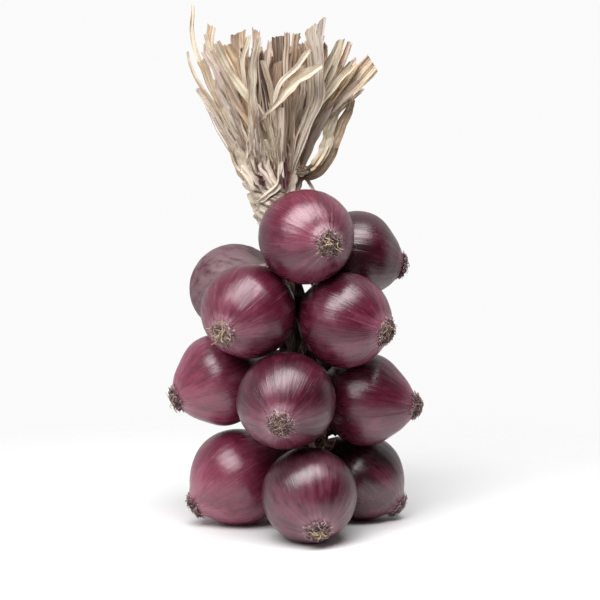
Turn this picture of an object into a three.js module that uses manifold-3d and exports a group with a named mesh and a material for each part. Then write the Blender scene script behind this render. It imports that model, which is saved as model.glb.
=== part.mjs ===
// A hanging string of red onions, stood on the table on its four lowest bulbs.
// Thirteen onions are tied by their dried stalks to a leaning bundle of stalks, which is bound
// at the neck with one leaf and ends in a spread tuft of cut leaves.
// Millimetres and degrees, +Z up, front towards -Y. A bearing is 0 at the front and 90 at +X.
import * as THREE from 'three';
import { mergeVertices } from 'three/addons/utils/BufferGeometryUtils.js';
import Module from 'manifold-3d';

const wasm = await Module();
wasm.setup();

// ---- Driving dimensions ---------------------------------------------------------------------

const GAP = 0.3;                // left between pieces that touch
const FLAT = 0.8;               // how far the lowest onions are flattened where they stand

// The line that the stalks follow: it leans to the left and bends a little.
const STEM_FOOT = new THREE.Vector3(16.9, -11.4, 14);
const STEM_BEND = new THREE.Vector3(7.1, -1.2, 123);
const STEM_NECK = new THREE.Vector3(-13.9, -1.1, 232);
const STEM_RADII = [5.5, 6, 6.5, 7, 7.5, 9, 12.5];   // from foot to neck, evenly spaced
const STEM_SIDES = 12;
const STEM_RINGS = 22;
const STRANDS = 3;              // lobes of the twisted bundle
const STRAND_DEPTH = 0.1;       // lobe height as a part of the radius
const STEM_TURNS = 1.6;         // whole turns of the twist from foot to neck

// Onion outline, as parts of the bulb's radius and angles from the root in radians.
const ROOT_RISE = 0.11;         // the bulb draws out to the root plate
const ROOT_SPREAD = 0.25;
const SHOULDER_DIP = 0.03;      // and is pulled in a little at the shoulder around it
const SHOULDER_ANGLE = 0.85;
const SHOULDER_SPREAD = 0.4;
const NECK_RISE = 0.24;         // and further out to the neck
const NECK_SPREAD = 0.4;
const PLATE_ANGLE = 0.2;        // where the root plate starts
const PLATE_DEPTH = 0.05;       // how far the root plate stands out
const PLATE_TAPER = 0.6;        // its outer width as a part of its inner width
const NECK_ANGLE = 0.16;        // where the bulb becomes the stalk
const OUT_OF_ROUND = 0.008;
const STALK_END_RADIUS = 3;
const STALK_CLIMB = 16;         // how far up the bundle a stalk joins it
const ONION_SIDES = 16;
const BULB_RINGS = 10;
const STALK_RINGS = 4;

// The onions, from the top down. Each has its radius, the bearing and reach of its middle from
// the stem line, its height, and the bearing and droop of its root end. Those with no height
// stand on the table. Some are more pointed, with a root rise and a shoulder dip of their own.
// Two stalks climb further than the others, to pass their neighbours.
const ONIONS = {
  Onion_top_front: { radius: 31, bearing: 21, reach: 43.5, height: 201, root: 26, droop: 4, dip: 0.02 },
  Onion_top_right: {
    radius: 31, bearing: 107, reach: 51.5, height: 183.5, root: 105, droop: 13, dip: 0.07,
  },
  Onion_upper_back_left: {
    radius: 31.5, bearing: -127, reach: 50, height: 159.5, root: -140, droop: 25, dip: 0.01,
  },
  Onion_upper_left: {
    radius: 31.5, bearing: -43, reach: 44, height: 150.5, root: -31, droop: 20, dip: 0.02,
  },
  Onion_upper_right: {
    radius: 31.5, bearing: 47, reach: 45.5, height: 144.5, root: 52, droop: 9, dip: 0.02,
  },
  Onion_middle_left: {
    radius: 31.8, bearing: -98, reach: 60.5, height: 98.5, root: -71, droop: 20, rise: 0.14, dip: 0.07,
  },
  Onion_middle_front: {
    radius: 32, bearing: -17, reach: 44.5, height: 93, root: -6, droop: 17, dip: 0.01,
  },
  Onion_middle_back: { radius: 30, bearing: 178, reach: 45.5, height: 88.5, root: 170, droop: 12 },
  Onion_middle_right: {
    radius: 31.5, bearing: 85, reach: 41.5, height: 87.5, root: 78, droop: 6, rise: 0.16, dip: 0.07,
  },
  Onion_low_left: { radius: 33.2, bearing: -100, reach: 54.8, root: -73, droop: 31, climb: 42 },
  Onion_low_front: { radius: 31.5, bearing: -7, reach: 40, root: 12, droop: 36, dip: 0.01 },
  Onion_low_right: { radius: 30.5, bearing: 125, reach: 38.5, root: 87, droop: 37, climb: 26 },
  Onion_low_back: { radius: 30, bearing: -165, reach: 63.5, root: -173, droop: 25 },
};

// The tuft: a solid heart that opens upwards, and rings of cut leaves around it.
const TUFT_BASE = 231;          // height of its underside
const TUFT_TOP = 311;           // height of most of its tips
const TUFT_TOP_SHIFT = 7;       // the top leans back to the right by this much
const TUFT_TURN = 6;            // bearing of the first leaf
const TUFT_DEPTH = 0.8;         // front to back spread as a part of the side spread
const HEART_HEIGHTS = [0, 12, 32, 58, 75];
const HEART_RADII = [15.5, 18, 26, 37, 32];
const HEART_SIDES = 16;
const HEART_RIPPLE = 0.06;
const LEAF_THICKNESS = 4;
const LEAF_START = { rise: 8, reach: 9 };       // inside the heart
const LEAF_BEND = { height: 0.45, reach: 0.5 }; // parts of the way to the tip
const LEAF_START_WIDTH = 0.55;                  // as a part of the width at the tip
const LEAF_RINGS = [
  { count: 15, reach: 60, height: 312, width: 11, spread: 8, rise: 14 },
  { count: 10, reach: 40, height: 326, width: 12, spread: 6, rise: 10 },
  { count: 5, reach: 17, height: 332, width: 12, spread: 4, rise: 8 },
];
const TALL_LEAF = { bearing: -84, reach: 64, height: 351, width: 7 };

// The leaf that ties the neck: a band, a knot at its right, a folded loop and a short tail.
const BAND_HEIGHT = 223;
const BAND_HALF_WIDTH = 5;
const BAND_THICKNESS = 3.4;
const BAND_TILT = 9;
const KNOT_CENTRE = new THREE.Vector3(9.5, -8, 236);
const KNOT_RADIUS = 6;
const KNOT_DEPTH = 0.8;         // front to back, as a part of its width
const TIE_FACING = new THREE.Vector3(0.3, -1, 0.2).normalize();
const LOOP = {                  // up the outer side, over the fold and down the inner side
  path: [
    [11, -8, 235],
    [23, -9, 242],
    [34, -9, 260],
    [42, -8, 284],
    [39, -8, 293],
    [33, -8, 286],
    [24, -9, 262],
    [16, -9, 246],
    [11, -9, 239],
  ],
  pieces: 14,
  width: 6.5,
  thickness: 3,
};
const TAIL = {
  path: [[10, -7, 234], [12, -9, 228], [13.5, -9, 223]],
  pieces: 3,
  width: 2.6,
  thickness: 1.6,
};

// ---- Helpers --------------------------------------------------------------------------------

const UP = new THREE.Vector3(0, 0, 1);
const radians = THREE.MathUtils.degToRad;
const mix = THREE.MathUtils.lerp;

// A level direction at a bearing, tipped down by the droop.
function heading(bearing, droop = 0) {
  const level = Math.cos(radians(droop));
  return new THREE.Vector3(
    Math.sin(radians(bearing)) * level,
    -Math.cos(radians(bearing)) * level,
    -Math.sin(radians(droop)),
  );
}

// A repeatable value from -1 to 1 that looks irregular, for the nth of a row of things.
function uneven(n) {
  return Math.sin(n * 2.4 + 1.3) * 0.6 + Math.sin(n * 5.1 + 0.4) * 0.4;
}

// Reads evenly spaced values as a straight-line function of a part from 0 to 1.
function along(values, part) {
  const place = THREE.MathUtils.clamp(part, 0, 1) * (values.length - 1);
  const step = Math.min(Math.floor(place), values.length - 2);
  return mix(values[step], values[step + 1], place - step);
}

// Angles of the corners of a ring.
function turns(sides) {
  return Array.from({ length: sides }, (_, i) => (i / sides) * Math.PI * 2);
}

// A closed body through rings of equally many points, each end shut by a fan. The rings run
// anticlockwise when seen from beyond the last one.
function skin(rings) {
  const sides = rings[0].length;
  const points = rings.flat();
  const faces = [];
  for (let r = 0; r < rings.length - 1; r += 1) {
    for (let s = 0; s < sides; s += 1) {
      const a = r * sides + s;
      const b = r * sides + ((s + 1) % sides);
      faces.push(a, b, b + sides, a, b + sides, a + sides);
    }
  }
  const first = points.length;
  const last = first + 1;
  points.push(middle(rings[0]), middle(rings.at(-1)));
  const top = (rings.length - 1) * sides;
  for (let s = 0; s < sides; s += 1) {
    const next = (s + 1) % sides;
    faces.push(first, next, s);
    faces.push(last, top + s, top + next);
  }
  const geometry = new THREE.BufferGeometry().setFromPoints(points);
  geometry.setIndex(faces);
  return geometry;
}

function middle(ring) {
  return ring.reduce((sum, p) => sum.add(p), new THREE.Vector3()).divideScalar(ring.length);
}

// Rings square to a path. The stations give each ring's middle, direction and radius, and
// outline(angle, station) gives each corner as a part of that radius.
function ringsAlong(stations, sides, outline) {
  const frame = new THREE.Quaternion().setFromUnitVectors(UP, stations[0].toward);
  let last = stations[0].toward;
  return stations.map((station) => {
    frame.premultiply(new THREE.Quaternion().setFromUnitVectors(last, station.toward));
    last = station.toward;
    return turns(sides).map((angle) => {
      const reach = station.radius * outline(angle, station);
      const corner = new THREE.Vector3(Math.cos(angle) * reach, Math.sin(angle) * reach, 0);
      return corner.applyQuaternion(frame).add(station.middle);
    });
  });
}

// A strip of box section along a curve. Its broad side faces the given way.
function strip(curve, count, widthAt, thickness, facing) {
  const rings = [];
  for (let i = 0; i <= count; i += 1) {
    const part = i / count;
    const ahead = curve.getTangent(part);
    const side = new THREE.Vector3().crossVectors(facing, ahead).normalize();
    const out = new THREE.Vector3().crossVectors(ahead, side);
    const half = widthAt(part) / 2;
    const corners = [[1, 1], [-1, 1], [-1, -1], [1, -1]];
    rings.push(corners.map(([x, y]) => curve.getPoint(part)
      .addScaledVector(side, x * half)
      .addScaledVector(out, y * thickness / 2)));
  }
  return skin(rings);
}

// A library solid from a geometry, and a geometry from a library solid.
function solidOf(geometry) {
  const bare = geometry.clone();
  bare.deleteAttribute('normal');
  bare.deleteAttribute('uv');
  const merged = mergeVertices(bare, 1e-4);
  return new wasm.Manifold(new wasm.Mesh({
    numProp: 3,
    vertProperties: new Float32Array(merged.attributes.position.array),
    triVerts: new Uint32Array(merged.index.array),
  }));
}

function geometryOf(solid) {
  const mesh = solid.getMesh();
  const geometry = new THREE.BufferGeometry();
  geometry.setAttribute('position', new THREE.BufferAttribute(mesh.vertProperties, 3));
  geometry.setIndex(new THREE.BufferAttribute(mesh.triVerts, 1));
  geometry.computeVertexNormals();
  return geometry;
}

// The largest of the bodies that a cut leaves.
function largest(solid) {
  return solid.decompose().reduce((a, b) => (b.volume() > a.volume() ? b : a));
}

function union(solids) {
  return solids.reduce((a, b) => a.add(b));
}

// ---- Stalk bundle ---------------------------------------------------------------------------

const stemLine = new THREE.QuadraticBezierCurve3(STEM_FOOT, STEM_BEND, STEM_NECK);

// The stem line's point at a height. The bend is halfway up, so height runs evenly along it.
function stemAt(height) {
  return stemLine.getPoint((height - STEM_FOOT.z) / (STEM_NECK.z - STEM_FOOT.z));
}

// The bundle, or the same shape swollen by a margin for cutting others clear of it.
function stemBundle(margin = 0) {
  const stations = [];
  for (let i = 0; i <= STEM_RINGS; i += 1) {
    const part = i / STEM_RINGS;
    stations.push({
      middle: stemLine.getPoint(part),
      toward: stemLine.getTangent(part),
      radius: along(STEM_RADII, part) + margin,
      part,
    });
  }
  const ends = [stations[0], stations.at(-1)];
  ends[0].middle.addScaledVector(ends[0].toward, -margin);
  ends[1].middle.addScaledVector(ends[1].toward, margin);
  return skin(ringsAlong(stations, STEM_SIDES, (angle, { part }) => (
    1 + STRAND_DEPTH * Math.cos(STRANDS * (angle - part * STEM_TURNS * Math.PI * 2))
  )));
}

// ---- Onions ---------------------------------------------------------------------------------

// The distance from the bulb's middle to its skin, at an angle from the root end.
function bulbReach({ radius, rise = ROOT_RISE, dip = SHOULDER_DIP }, angle) {
  const bell = (from, spread) => Math.exp(-(((angle - from) / spread) ** 2));
  return radius * (
    1
    + rise * bell(0, ROOT_SPREAD)
    - dip * bell(SHOULDER_ANGLE, SHOULDER_SPREAD)
    + NECK_RISE * bell(Math.PI, NECK_SPREAD)
  );
}

// The height of a standing bulb's middle: its skin's deepest reach, less the flat spot.
function standingHeight(place) {
  const depths = Array.from({ length: 91 }, (_, degrees) => (
    bulbReach(place, radians(degrees)) * Math.sin(radians(degrees + place.droop))
  ));
  return Math.max(...depths) - FLAT;
}

function onionMiddle(place) {
  const level = place.height ?? standingHeight(place);
  return stemAt(level).addScaledVector(heading(place.bearing), place.reach);
}

// Rings of the root plate and the bulb, from the root towards the neck.
function bulbStations(place, centre) {
  const rootward = heading(place.root, place.droop);
  const neckward = rootward.clone().negate();
  const at = (distance, width) => ({
    middle: centre.clone().addScaledVector(rootward, distance),
    toward: neckward,
    radius: width,
  });
  const plate = bulbReach(place, PLATE_ANGLE);
  const plateOut = plate * Math.cos(PLATE_ANGLE) + place.radius * PLATE_DEPTH;
  const stations = [at(plateOut, plate * Math.sin(PLATE_ANGLE) * PLATE_TAPER)];
  for (let i = 0; i < BULB_RINGS; i += 1) {
    const angle = mix(PLATE_ANGLE, Math.PI - NECK_ANGLE, i / (BULB_RINGS - 1));
    const reach = bulbReach(place, angle);
    stations.push(at(reach * Math.cos(angle), reach * Math.sin(angle)));
  }
  return stations;
}

// Rings of the dried stalk, which bends from the neck up to the bundle.
function stalkStations(neck, join) {
  const span = neck.middle.distanceTo(join);
  const climb = stemLine.getTangent(0.5);
  const curve = new THREE.CubicBezierCurve3(
    neck.middle,
    neck.middle.clone().addScaledVector(neck.toward, span * 0.4),
    join.clone().addScaledVector(climb, -span * 0.3),
    join,
  );
  const stations = [];
  for (let i = 1; i <= STALK_RINGS; i += 1) {
    const part = i / STALK_RINGS;
    stations.push({
      middle: curve.getPoint(part),
      toward: curve.getTangent(part),
      radius: mix(neck.radius, STALK_END_RADIUS, Math.sqrt(part)),
    });
  }
  return stations;
}

// One onion with its stalk, cut clear of the bundle and flattened by the table.
function onion(place, phase, bundle, table) {
  const centre = onionMiddle(place);
  const stations = bulbStations(place, centre);
  const join = stemAt(centre.z + (place.climb ?? STALK_CLIMB));
  stations.push(...stalkStations(stations.at(-1), join));
  const rings = ringsAlong(stations, ONION_SIDES, (angle) => (
    1 + OUT_OF_ROUND * (Math.sin(2 * angle + phase) + 0.6 * Math.sin(3 * angle + 2 * phase))
  ));
  return largest(solidOf(skin(rings)).subtract(bundle).subtract(table));
}

// ---- Tuft -----------------------------------------------------------------------------------

// The middle line of the tuft at a height.
function tuftAxis(height) {
  const part = (height - TUFT_BASE) / (TUFT_TOP - TUFT_BASE);
  return stemAt(TUFT_BASE).setZ(height).add(new THREE.Vector3(TUFT_TOP_SHIFT * part, 0, 0));
}

// The heart is round at the neck. Higher up it is rippled, and flatter from front to back.
function tuftHeart() {
  return skin(HEART_HEIGHTS.map((rise, level) => {
    const opened = Math.min(level / 2, 1);
    return turns(HEART_SIDES).map((angle, side) => {
      const ripple = 1 + HEART_RIPPLE * opened * (side % 2 ? 1 : -1);
      const across = Math.cos(angle) * HEART_RADII[level] * ripple;
      const deep = Math.sin(angle) * HEART_RADII[level] * ripple * mix(1, TUFT_DEPTH, opened);
      return tuftAxis(TUFT_BASE + rise).add(new THREE.Vector3(across, deep, 0));
    });
  }));
}

// One cut leaf, from inside the heart out to its tip.
function tuftLeaf({ bearing, reach, height, width }) {
  const out = heading(bearing).multiply(new THREE.Vector3(1, TUFT_DEPTH, 1));
  const bend = mix(TUFT_BASE, height, LEAF_BEND.height);
  const curve = new THREE.QuadraticBezierCurve3(
    tuftAxis(TUFT_BASE + LEAF_START.rise).addScaledVector(out, LEAF_START.reach),
    tuftAxis(bend).addScaledVector(out, reach * LEAF_BEND.reach),
    tuftAxis(height).addScaledVector(out, reach),
  );
  const widthAt = (part) => width * mix(LEAF_START_WIDTH, 1, part);
  return strip(curve, 3, widthAt, LEAF_THICKNESS, heading(bearing));
}

// The heart and all its leaves as one body, with each ring of leaves unevenly spread.
function leafTuft() {
  const leaves = [TALL_LEAF];
  LEAF_RINGS.forEach((ring, level) => {
    for (let i = 0; i < ring.count; i += 1) {
      const odd = i + level * 20;
      leaves.push({
        bearing: (i + 0.5 * level + 0.25 * uneven(odd)) * (360 / ring.count) + TUFT_TURN,
        reach: ring.reach + ring.spread * uneven(odd + 3),
        height: ring.height + ring.rise * uneven(odd + 7),
        width: ring.width * (1 + 0.2 * uneven(odd + 11)),
      });
    }
  });
  return union([solidOf(tuftHeart()), ...leaves.map((leaf) => solidOf(tuftLeaf(leaf)))]);
}

// ---- Tie ------------------------------------------------------------------------------------

// The band hugs the bundle just under the tuft, lower on the right.
function tieBand(bundle) {
  const inner = along(STEM_RADII, (BAND_HEIGHT - STEM_FOOT.z) / (STEM_NECK.z - STEM_FOOT.z));
  const half = BAND_THICKNESS / 2;
  const ring = new THREE.TorusGeometry(inner + half, half, 8, 20);
  ring.scale(1, 1, BAND_HALF_WIDTH / half);
  ring.rotateY(radians(-BAND_TILT));
  ring.translate(...stemAt(BAND_HEIGHT).toArray());
  return solidOf(ring).subtract(bundle);
}

// A strip of the tying leaf along listed points, broad side to the front, or the same swollen.
function tieStrip({ path, pieces, width, thickness }, margin) {
  const curve = new THREE.CatmullRomCurve3(path.map((p) => new THREE.Vector3(...p)));
  return solidOf(strip(
    curve,
    pieces,
    () => width + margin * 2,
    thickness + margin * 2,
    TIE_FACING,
  ));
}

// The knot with its folded loop and short tail, or the same swollen by a margin.
function tieKnot(margin = 0) {
  const knot = new THREE.SphereGeometry(KNOT_RADIUS + margin, 12, 8);
  knot.scale(1, KNOT_DEPTH, 0.9);
  knot.translate(...KNOT_CENTRE.toArray());
  return union([solidOf(knot), tieStrip(LOOP, margin), tieStrip(TAIL, margin)]);
}

// ---- Assembly -------------------------------------------------------------------------------

const ONION_COLOURS = ['#6f2b42', '#662439', '#4d2431', '#742f48', '#5f2036'];
const STALK_COLOUR = '#8c7b66';
const LEAF_COLOUR = '#c8b496';
const BAND_COLOUR = '#d8cdb6';
const KNOT_COLOUR = '#9a8a74';
const SKIN_ROUGHNESS = 0.35;
const LEAF_ROUGHNESS = 0.85;

// A named mesh of a solid, whose own origin is at the given point.
function piece(name, solid, origin, color, roughness) {
  const geometry = geometryOf(solid).translate(-origin.x, -origin.y, -origin.z);
  const material = new THREE.MeshStandardMaterial({ name, color, roughness, metalness: 0 });
  const mesh = new THREE.Mesh(geometry, material);
  mesh.name = name;
  mesh.position.copy(origin);
  return mesh;
}

function tableTop() {
  const block = new THREE.BoxGeometry(400, 400, 40);
  block.translate(0, 0, -20);
  return solidOf(block);
}

function onions(bundle) {
  const group = new THREE.Group();
  const table = tableTop();
  Object.entries(ONIONS).forEach(([name, place], i) => {
    const colour = ONION_COLOURS[i % ONION_COLOURS.length];
    group.add(piece(name, onion(place, i, bundle, table), onionMiddle(place), colour, SKIN_ROUGHNESS));
  });
  return group;
}

function tie(bundle) {
  const group = new THREE.Group();
  const middleOfBand = stemAt(BAND_HEIGHT);
  group.add(piece('Tie_band', tieBand(bundle), middleOfBand, BAND_COLOUR, LEAF_ROUGHNESS));
  group.add(piece('Tie_knot', tieKnot(), KNOT_CENTRE, KNOT_COLOUR, LEAF_ROUGHNESS));
  return group;
}

function buildString() {
  const bundle = solidOf(stemBundle());
  const bundleSpace = solidOf(stemBundle(GAP));
  const tuft = largest(leafTuft().subtract(tieKnot(GAP * 2)).subtract(bundleSpace));
  const string = new THREE.Group();
  string.add(
    onions(bundleSpace),
    piece('Stem_bundle', bundle, STEM_FOOT, STALK_COLOUR, LEAF_ROUGHNESS),
    piece('Leaf_tuft', tuft, stemAt(TUFT_BASE), LEAF_COLOUR, LEAF_ROUGHNESS),
    tie(bundleSpace),
  );
  return string;
}

export default buildString();
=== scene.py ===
"""A string of red onions that stands on a pale table, in metres, +Z up, front towards -Y.

Thirteen glossy bulbs hang by their dried stalks on a leaning, twisted bundle. A leaf binds the
neck, and the cut leaves spread above it. Sizes are in millimetres until a mesh is made. Bearings,
droops and the camera's elevation are in degrees, and a bearing is 0 at the front and 90 at +X.
Other angles are in radians.
"""

import math
from types import SimpleNamespace

import bpy
import numpy as np
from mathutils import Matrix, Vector


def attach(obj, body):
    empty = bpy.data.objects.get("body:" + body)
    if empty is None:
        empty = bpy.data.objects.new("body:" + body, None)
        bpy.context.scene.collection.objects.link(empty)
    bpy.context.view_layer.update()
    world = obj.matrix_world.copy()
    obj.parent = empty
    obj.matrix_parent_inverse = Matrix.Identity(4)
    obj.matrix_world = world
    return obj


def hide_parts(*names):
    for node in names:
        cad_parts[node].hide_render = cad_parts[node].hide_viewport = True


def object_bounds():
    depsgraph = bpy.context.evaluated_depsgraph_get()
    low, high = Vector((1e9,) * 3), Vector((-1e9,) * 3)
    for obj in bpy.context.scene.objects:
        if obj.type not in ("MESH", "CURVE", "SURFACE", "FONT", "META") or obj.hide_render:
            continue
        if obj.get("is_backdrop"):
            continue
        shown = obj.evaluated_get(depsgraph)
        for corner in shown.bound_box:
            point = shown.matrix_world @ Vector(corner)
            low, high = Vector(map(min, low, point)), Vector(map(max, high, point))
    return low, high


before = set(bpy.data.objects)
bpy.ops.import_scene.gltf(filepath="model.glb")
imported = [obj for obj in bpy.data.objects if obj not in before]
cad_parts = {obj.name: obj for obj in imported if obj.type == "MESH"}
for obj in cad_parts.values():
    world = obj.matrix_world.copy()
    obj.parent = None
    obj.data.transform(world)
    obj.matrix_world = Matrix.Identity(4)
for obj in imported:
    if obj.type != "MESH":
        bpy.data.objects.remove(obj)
CAD_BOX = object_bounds()

# ---- Driving dimensions -----------------------------------------------------------------

MM = 0.001
TAU = 2 * math.pi
FLAT = 0.8  # how far the lowest bulbs are flattened where they stand

# The golden angle, which spreads things evenly around, in degrees and in radians, and how much
# of a whole turn is left beside it.
GOLDEN_DEGREES, GOLDEN_ANGLE, GOLDEN_REST = 137.5, 2.39996, 0.618

# The line that the stalks follow, and the bundle's radius from its foot to the neck.
STEM_FOOT = np.array([16.9, -11.4, 14.0])
STEM_BEND = np.array([7.1, -1.2, 123.0])
STEM_NECK = np.array([-13.9, -1.1, 232.0])
STEM_RADII = [5.5, 6, 6.5, 7, 7.5, 9, 12.5]
SEEN_THROUGH = (148, 176)  # heights between which one sees through, at the bundle's right

# Bulb outline, as parts of the bulb's radius and angles at its middle. The nub's, the dip's and
# the root plate's angles are from the root, the neck's are from the neck.
NUB_SPREAD = 0.32
DIP_ANGLE, DIP_SPREAD = 0.85, 0.4
NECK_RISE, NECK_SPREAD = 0.24, 0.4
PLATE_ANGLE = 0.24
NECK_ANGLE = 0.16
STALK_END_RADIUS = 3.2


def one_onion(radius, bearing, reach, height, root, droop, climb=16, nub=0.09, dip=0.03, wide=1.0,
              tone=0.4, dry=0.0, long=1.0, pale=0.0, cap=1.0):
    """A bulb: its radius, the bearing and reach of its middle from the stem line, its height,
    or None if it stands on the table, and the bearing and droop of its root. Its stalk climbs
    before it joins the bundle. The nub and the dip shape its root end, and wide is how much
    broader than deep it is. Tone runs from 0 dark to 1 pink, dry is how much of its skin is
    dull and brown, long is how long its pale roots are, pale is how much paler its dark roots
    are, and cap is how far the middle of its root plate stands out."""
    return SimpleNamespace(**locals())


ONIONS = {
    "top_front": one_onion(31, 22.5, 43.5, 200.2, 26, 4, dip=0.02, wide=1.03, tone=0.38, long=1.2),
    "top_right": one_onion(31, 107, 51.5, 183.5, 105, 13, nub=0.06, dip=0.075, tone=-0.1, cap=1.6),
    "upper_back_left": one_onion(31.5, -127, 50, 159.5, -140, 25, dip=0.01, tone=0.4, dry=0.9),
    "upper_left": one_onion(31.5, -43, 44, 150.5, -31, 20, dip=0.02, tone=0.35, long=1.3, pale=0.2),
    "upper_right": one_onion(31.5, 47, 45.5, 144.5, 52, 9, dip=0.02, tone=0.2, long=0.75, pale=0.1),
    "middle_left": one_onion(31.8, -98, 59.6, 98.5, -71, 20, nub=0.03, dip=0.07, tone=0.7, cap=1.8),
    "middle_front": one_onion(
        32, -17, 44.5, 93, -6, 17, dip=0.01, wide=1.02, tone=0.05, dry=0.08, long=0.9, pale=-0.12),
    "middle_back": one_onion(30, 178, 45.5, 88.5, 170, 12, tone=0.5),
    "middle_right": one_onion(31.5, 85, 41.5, 87.5, 78, 6, nub=0.05, dip=0.075, tone=0.28, cap=3.2),
    "low_left": one_onion(
        33.2, -100, 54.8, None, -73, 31, climb=42, dip=0.03, tone=0.75, long=0.7, cap=1.3),
    "low_front": one_onion(
        31.5, -7, 40, None, 12, 34.5, nub=0.02, dip=0.01, tone=-0.15, dry=0.08, long=0.9,
        pale=-0.05),
    # Its low tone partly paints the shade that the bulb above casts on it.
    "low_right": one_onion(30.5, 125, 38.5, None, 87, 37, climb=26, tone=-0.2),
    "low_back": one_onion(30, -165, 63.5, None, -173, 25, tone=0.55),
}

# The camera looks at the middle of the string, a little from above.
CAMERA_TARGET = np.array([4.4, -4.9, 155.0])
CAMERA_DISTANCE = 1100.0
CAMERA_ELEVATION = 5.9
CAMERA_LENS = 97.4


# ---- Small maths ------------------------------------------------------------------------


def unit(v):
    """Vectors along the last axis, each divided by its length."""
    return v / np.maximum(np.linalg.norm(v, axis=-1, keepdims=True), 1e-9)


def heading(bearing, droop=0.0):
    """A level direction at a bearing, tipped down by the droop."""
    b, d = np.radians(bearing), np.radians(droop)
    level = np.cos(d)
    return np.stack([np.sin(b) * level, -np.cos(b) * level, -np.sin(d) + 0 * b], axis=-1)


CAMERA_PLACE = CAMERA_TARGET + CAMERA_DISTANCE * heading(0, -CAMERA_ELEVATION)


def spokes(turn):
    """Level unit vectors that point outwards at the angles."""
    return np.stack([np.cos(turn), np.sin(turn), 0 * turn], axis=-1)


def steps(count, rows):
    """The way along each of the lines, from 0 to 1."""
    return np.tile(np.linspace(0, 1, rows), (count, 1))


def smooth_step(low, high, x):
    """0 below low, 1 above high, and 3t^2 - 2t^3 between."""
    t = np.clip((x - low) / (high - low), 0, 1)
    return t * t * (3 - 2 * t)


def bell(x, middle, spread):
    """e to the power -((x - middle) / spread)^2."""
    return np.exp(-(((x - middle) / spread) ** 2))


def waves(rng, x, lowest, highest, count):
    """A sum of sines of x with random frequencies and phases, about -1 to 1. Each row of x
    gets sines of its own."""
    total = np.zeros_like(x)
    for _ in range(count):
        frequency = rng.uniform(lowest, highest, (x.shape[0], 1))
        phase = rng.uniform(0, TAU, (x.shape[0], 1))
        total += np.sin(x * frequency * TAU + phase)
    return total / math.sqrt(count)


def sway(rng, x, lowest, highest, count):
    """Vectors of three such sums of sines."""
    return np.stack([waves(rng, x, lowest, highest, count) for _ in range(3)], axis=-1)


def cubic(a, b, c, d, t):
    """Points of cubic Bezier curves. a to d are (n, 3) or (3,), t is (m,)."""
    a, b, c, d = (np.atleast_2d(p)[:, None, :] for p in (a, b, c, d))
    t = t[None, :, None]
    return a * (1 - t) ** 3 + 3 * b * t * (1 - t) ** 2 + 3 * c * t * t * (1 - t) + d * t**3


def straight(ends, count):
    """Evenly spaced points of the straight lines between pairs of ends."""
    a, b = np.moveaxis(np.asarray(ends, float), 1, 0)
    return a[:, None] + (b - a)[:, None] * steps(len(a), count)[..., None]


def through(points, count):
    """Evenly spaced points of the Catmull-Rom curve through the listed points. It is worked out
    at four times as many points first, and those are evened out."""
    p = np.asarray(points, float)
    p = np.vstack([2 * p[0] - p[1], p, 2 * p[-1] - p[-2]])
    t = np.linspace(0, len(points) - 1, count * 4)
    i = np.minimum(t.astype(int), len(points) - 2)
    f = (t - i)[:, None]
    a, b, c, d = p[i], p[i + 1], p[i + 2], p[i + 3]
    curve = b + 0.5 * f * (c - a + f * (2 * a - 5 * b + 4 * c - d + f * (3 * (b - c) + d - a)))
    run = np.append(0, np.cumsum(np.linalg.norm(np.diff(curve, axis=0), axis=1)))
    even = np.linspace(0, run[-1], count)
    return np.stack([np.interp(even, run, curve[:, k]) for k in range(curve.shape[1])], axis=1)


def stem_at(height):
    """The stem line's point at a height: a quadratic Bezier curve whose height runs evenly."""
    t = (np.asarray(height, float)[..., None] - STEM_FOOT[2]) / (STEM_NECK[2] - STEM_FOOT[2])
    return STEM_FOOT * (1 - t) ** 2 + 2 * STEM_BEND * t * (1 - t) + STEM_NECK * t * t


def stem_radius(height):
    """The bundle's radius at a height, between the listed ones."""
    part = (np.asarray(height, float) - STEM_FOOT[2]) / (STEM_NECK[2] - STEM_FOOT[2])
    return np.interp(part, np.linspace(0, 1, len(STEM_RADII)), STEM_RADII)


def pushed_back(x, depth, z):
    """A point set out at (x, z) on the front elevation through the camera's target, moved
    along the line of sight until its y is the depth."""
    drawn = np.stack([x, np.full_like(x, CAMERA_TARGET[1]), z], axis=-1)
    share = (depth - CAMERA_PLACE[1]) / (CAMERA_TARGET[1] - CAMERA_PLACE[1])
    return CAMERA_PLACE + (drawn - CAMERA_PLACE) * share[..., None]


# ---- Making pieces ----------------------------------------------------------------------


def tube_faces(rows, cols):
    """Quads of a tube of rows rings with cols points each, closed around."""
    r = np.arange(rows - 1)[:, None]
    c = np.arange(cols)[None, :]
    a, b = r * cols + c, r * cols + (c + 1) % cols
    return [tuple(f) for f in np.stack([a, b, b + cols, a + cols], axis=-1).reshape(-1, 4)]


def pole_faces(rows, cols, first, last):
    """Triangles from the first and last rings of such a tube to a point at each end."""
    top = (rows - 1) * cols
    faces = []
    for c in range(cols):
        after = (c + 1) % cols
        faces += [(first, after, c), (last, top + c, top + after)]
    return faces


def above_table(points, least):
    """The points, with none lower than the least height."""
    return np.concatenate([points[..., :2], np.maximum(points[..., 2:], least)], axis=-1)


def outward(points, faces):
    """The faces, all turned round if they enclose a negative volume."""
    triangles = [(f[0], f[i], f[i + 1]) for f in faces for i in range(1, len(f) - 1)]
    a, b, c = (points[list(corner)] for corner in zip(*triangles))
    volume = np.einsum("ij,ij->", a, np.cross(b, c))
    return [tuple(reversed(f)) for f in faces] if volume < 0 else faces


def repeated(faces, copies, each):
    """The faces of one body, repeated for copies that have each points."""
    return [tuple(v + i * each for v in f) for i in range(copies) for f in faces]


def add_object(name, data):
    """An object in the scene, at the origin."""
    obj = bpy.data.objects.new(name, data)
    bpy.context.scene.collection.objects.link(obj)
    return obj


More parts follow.
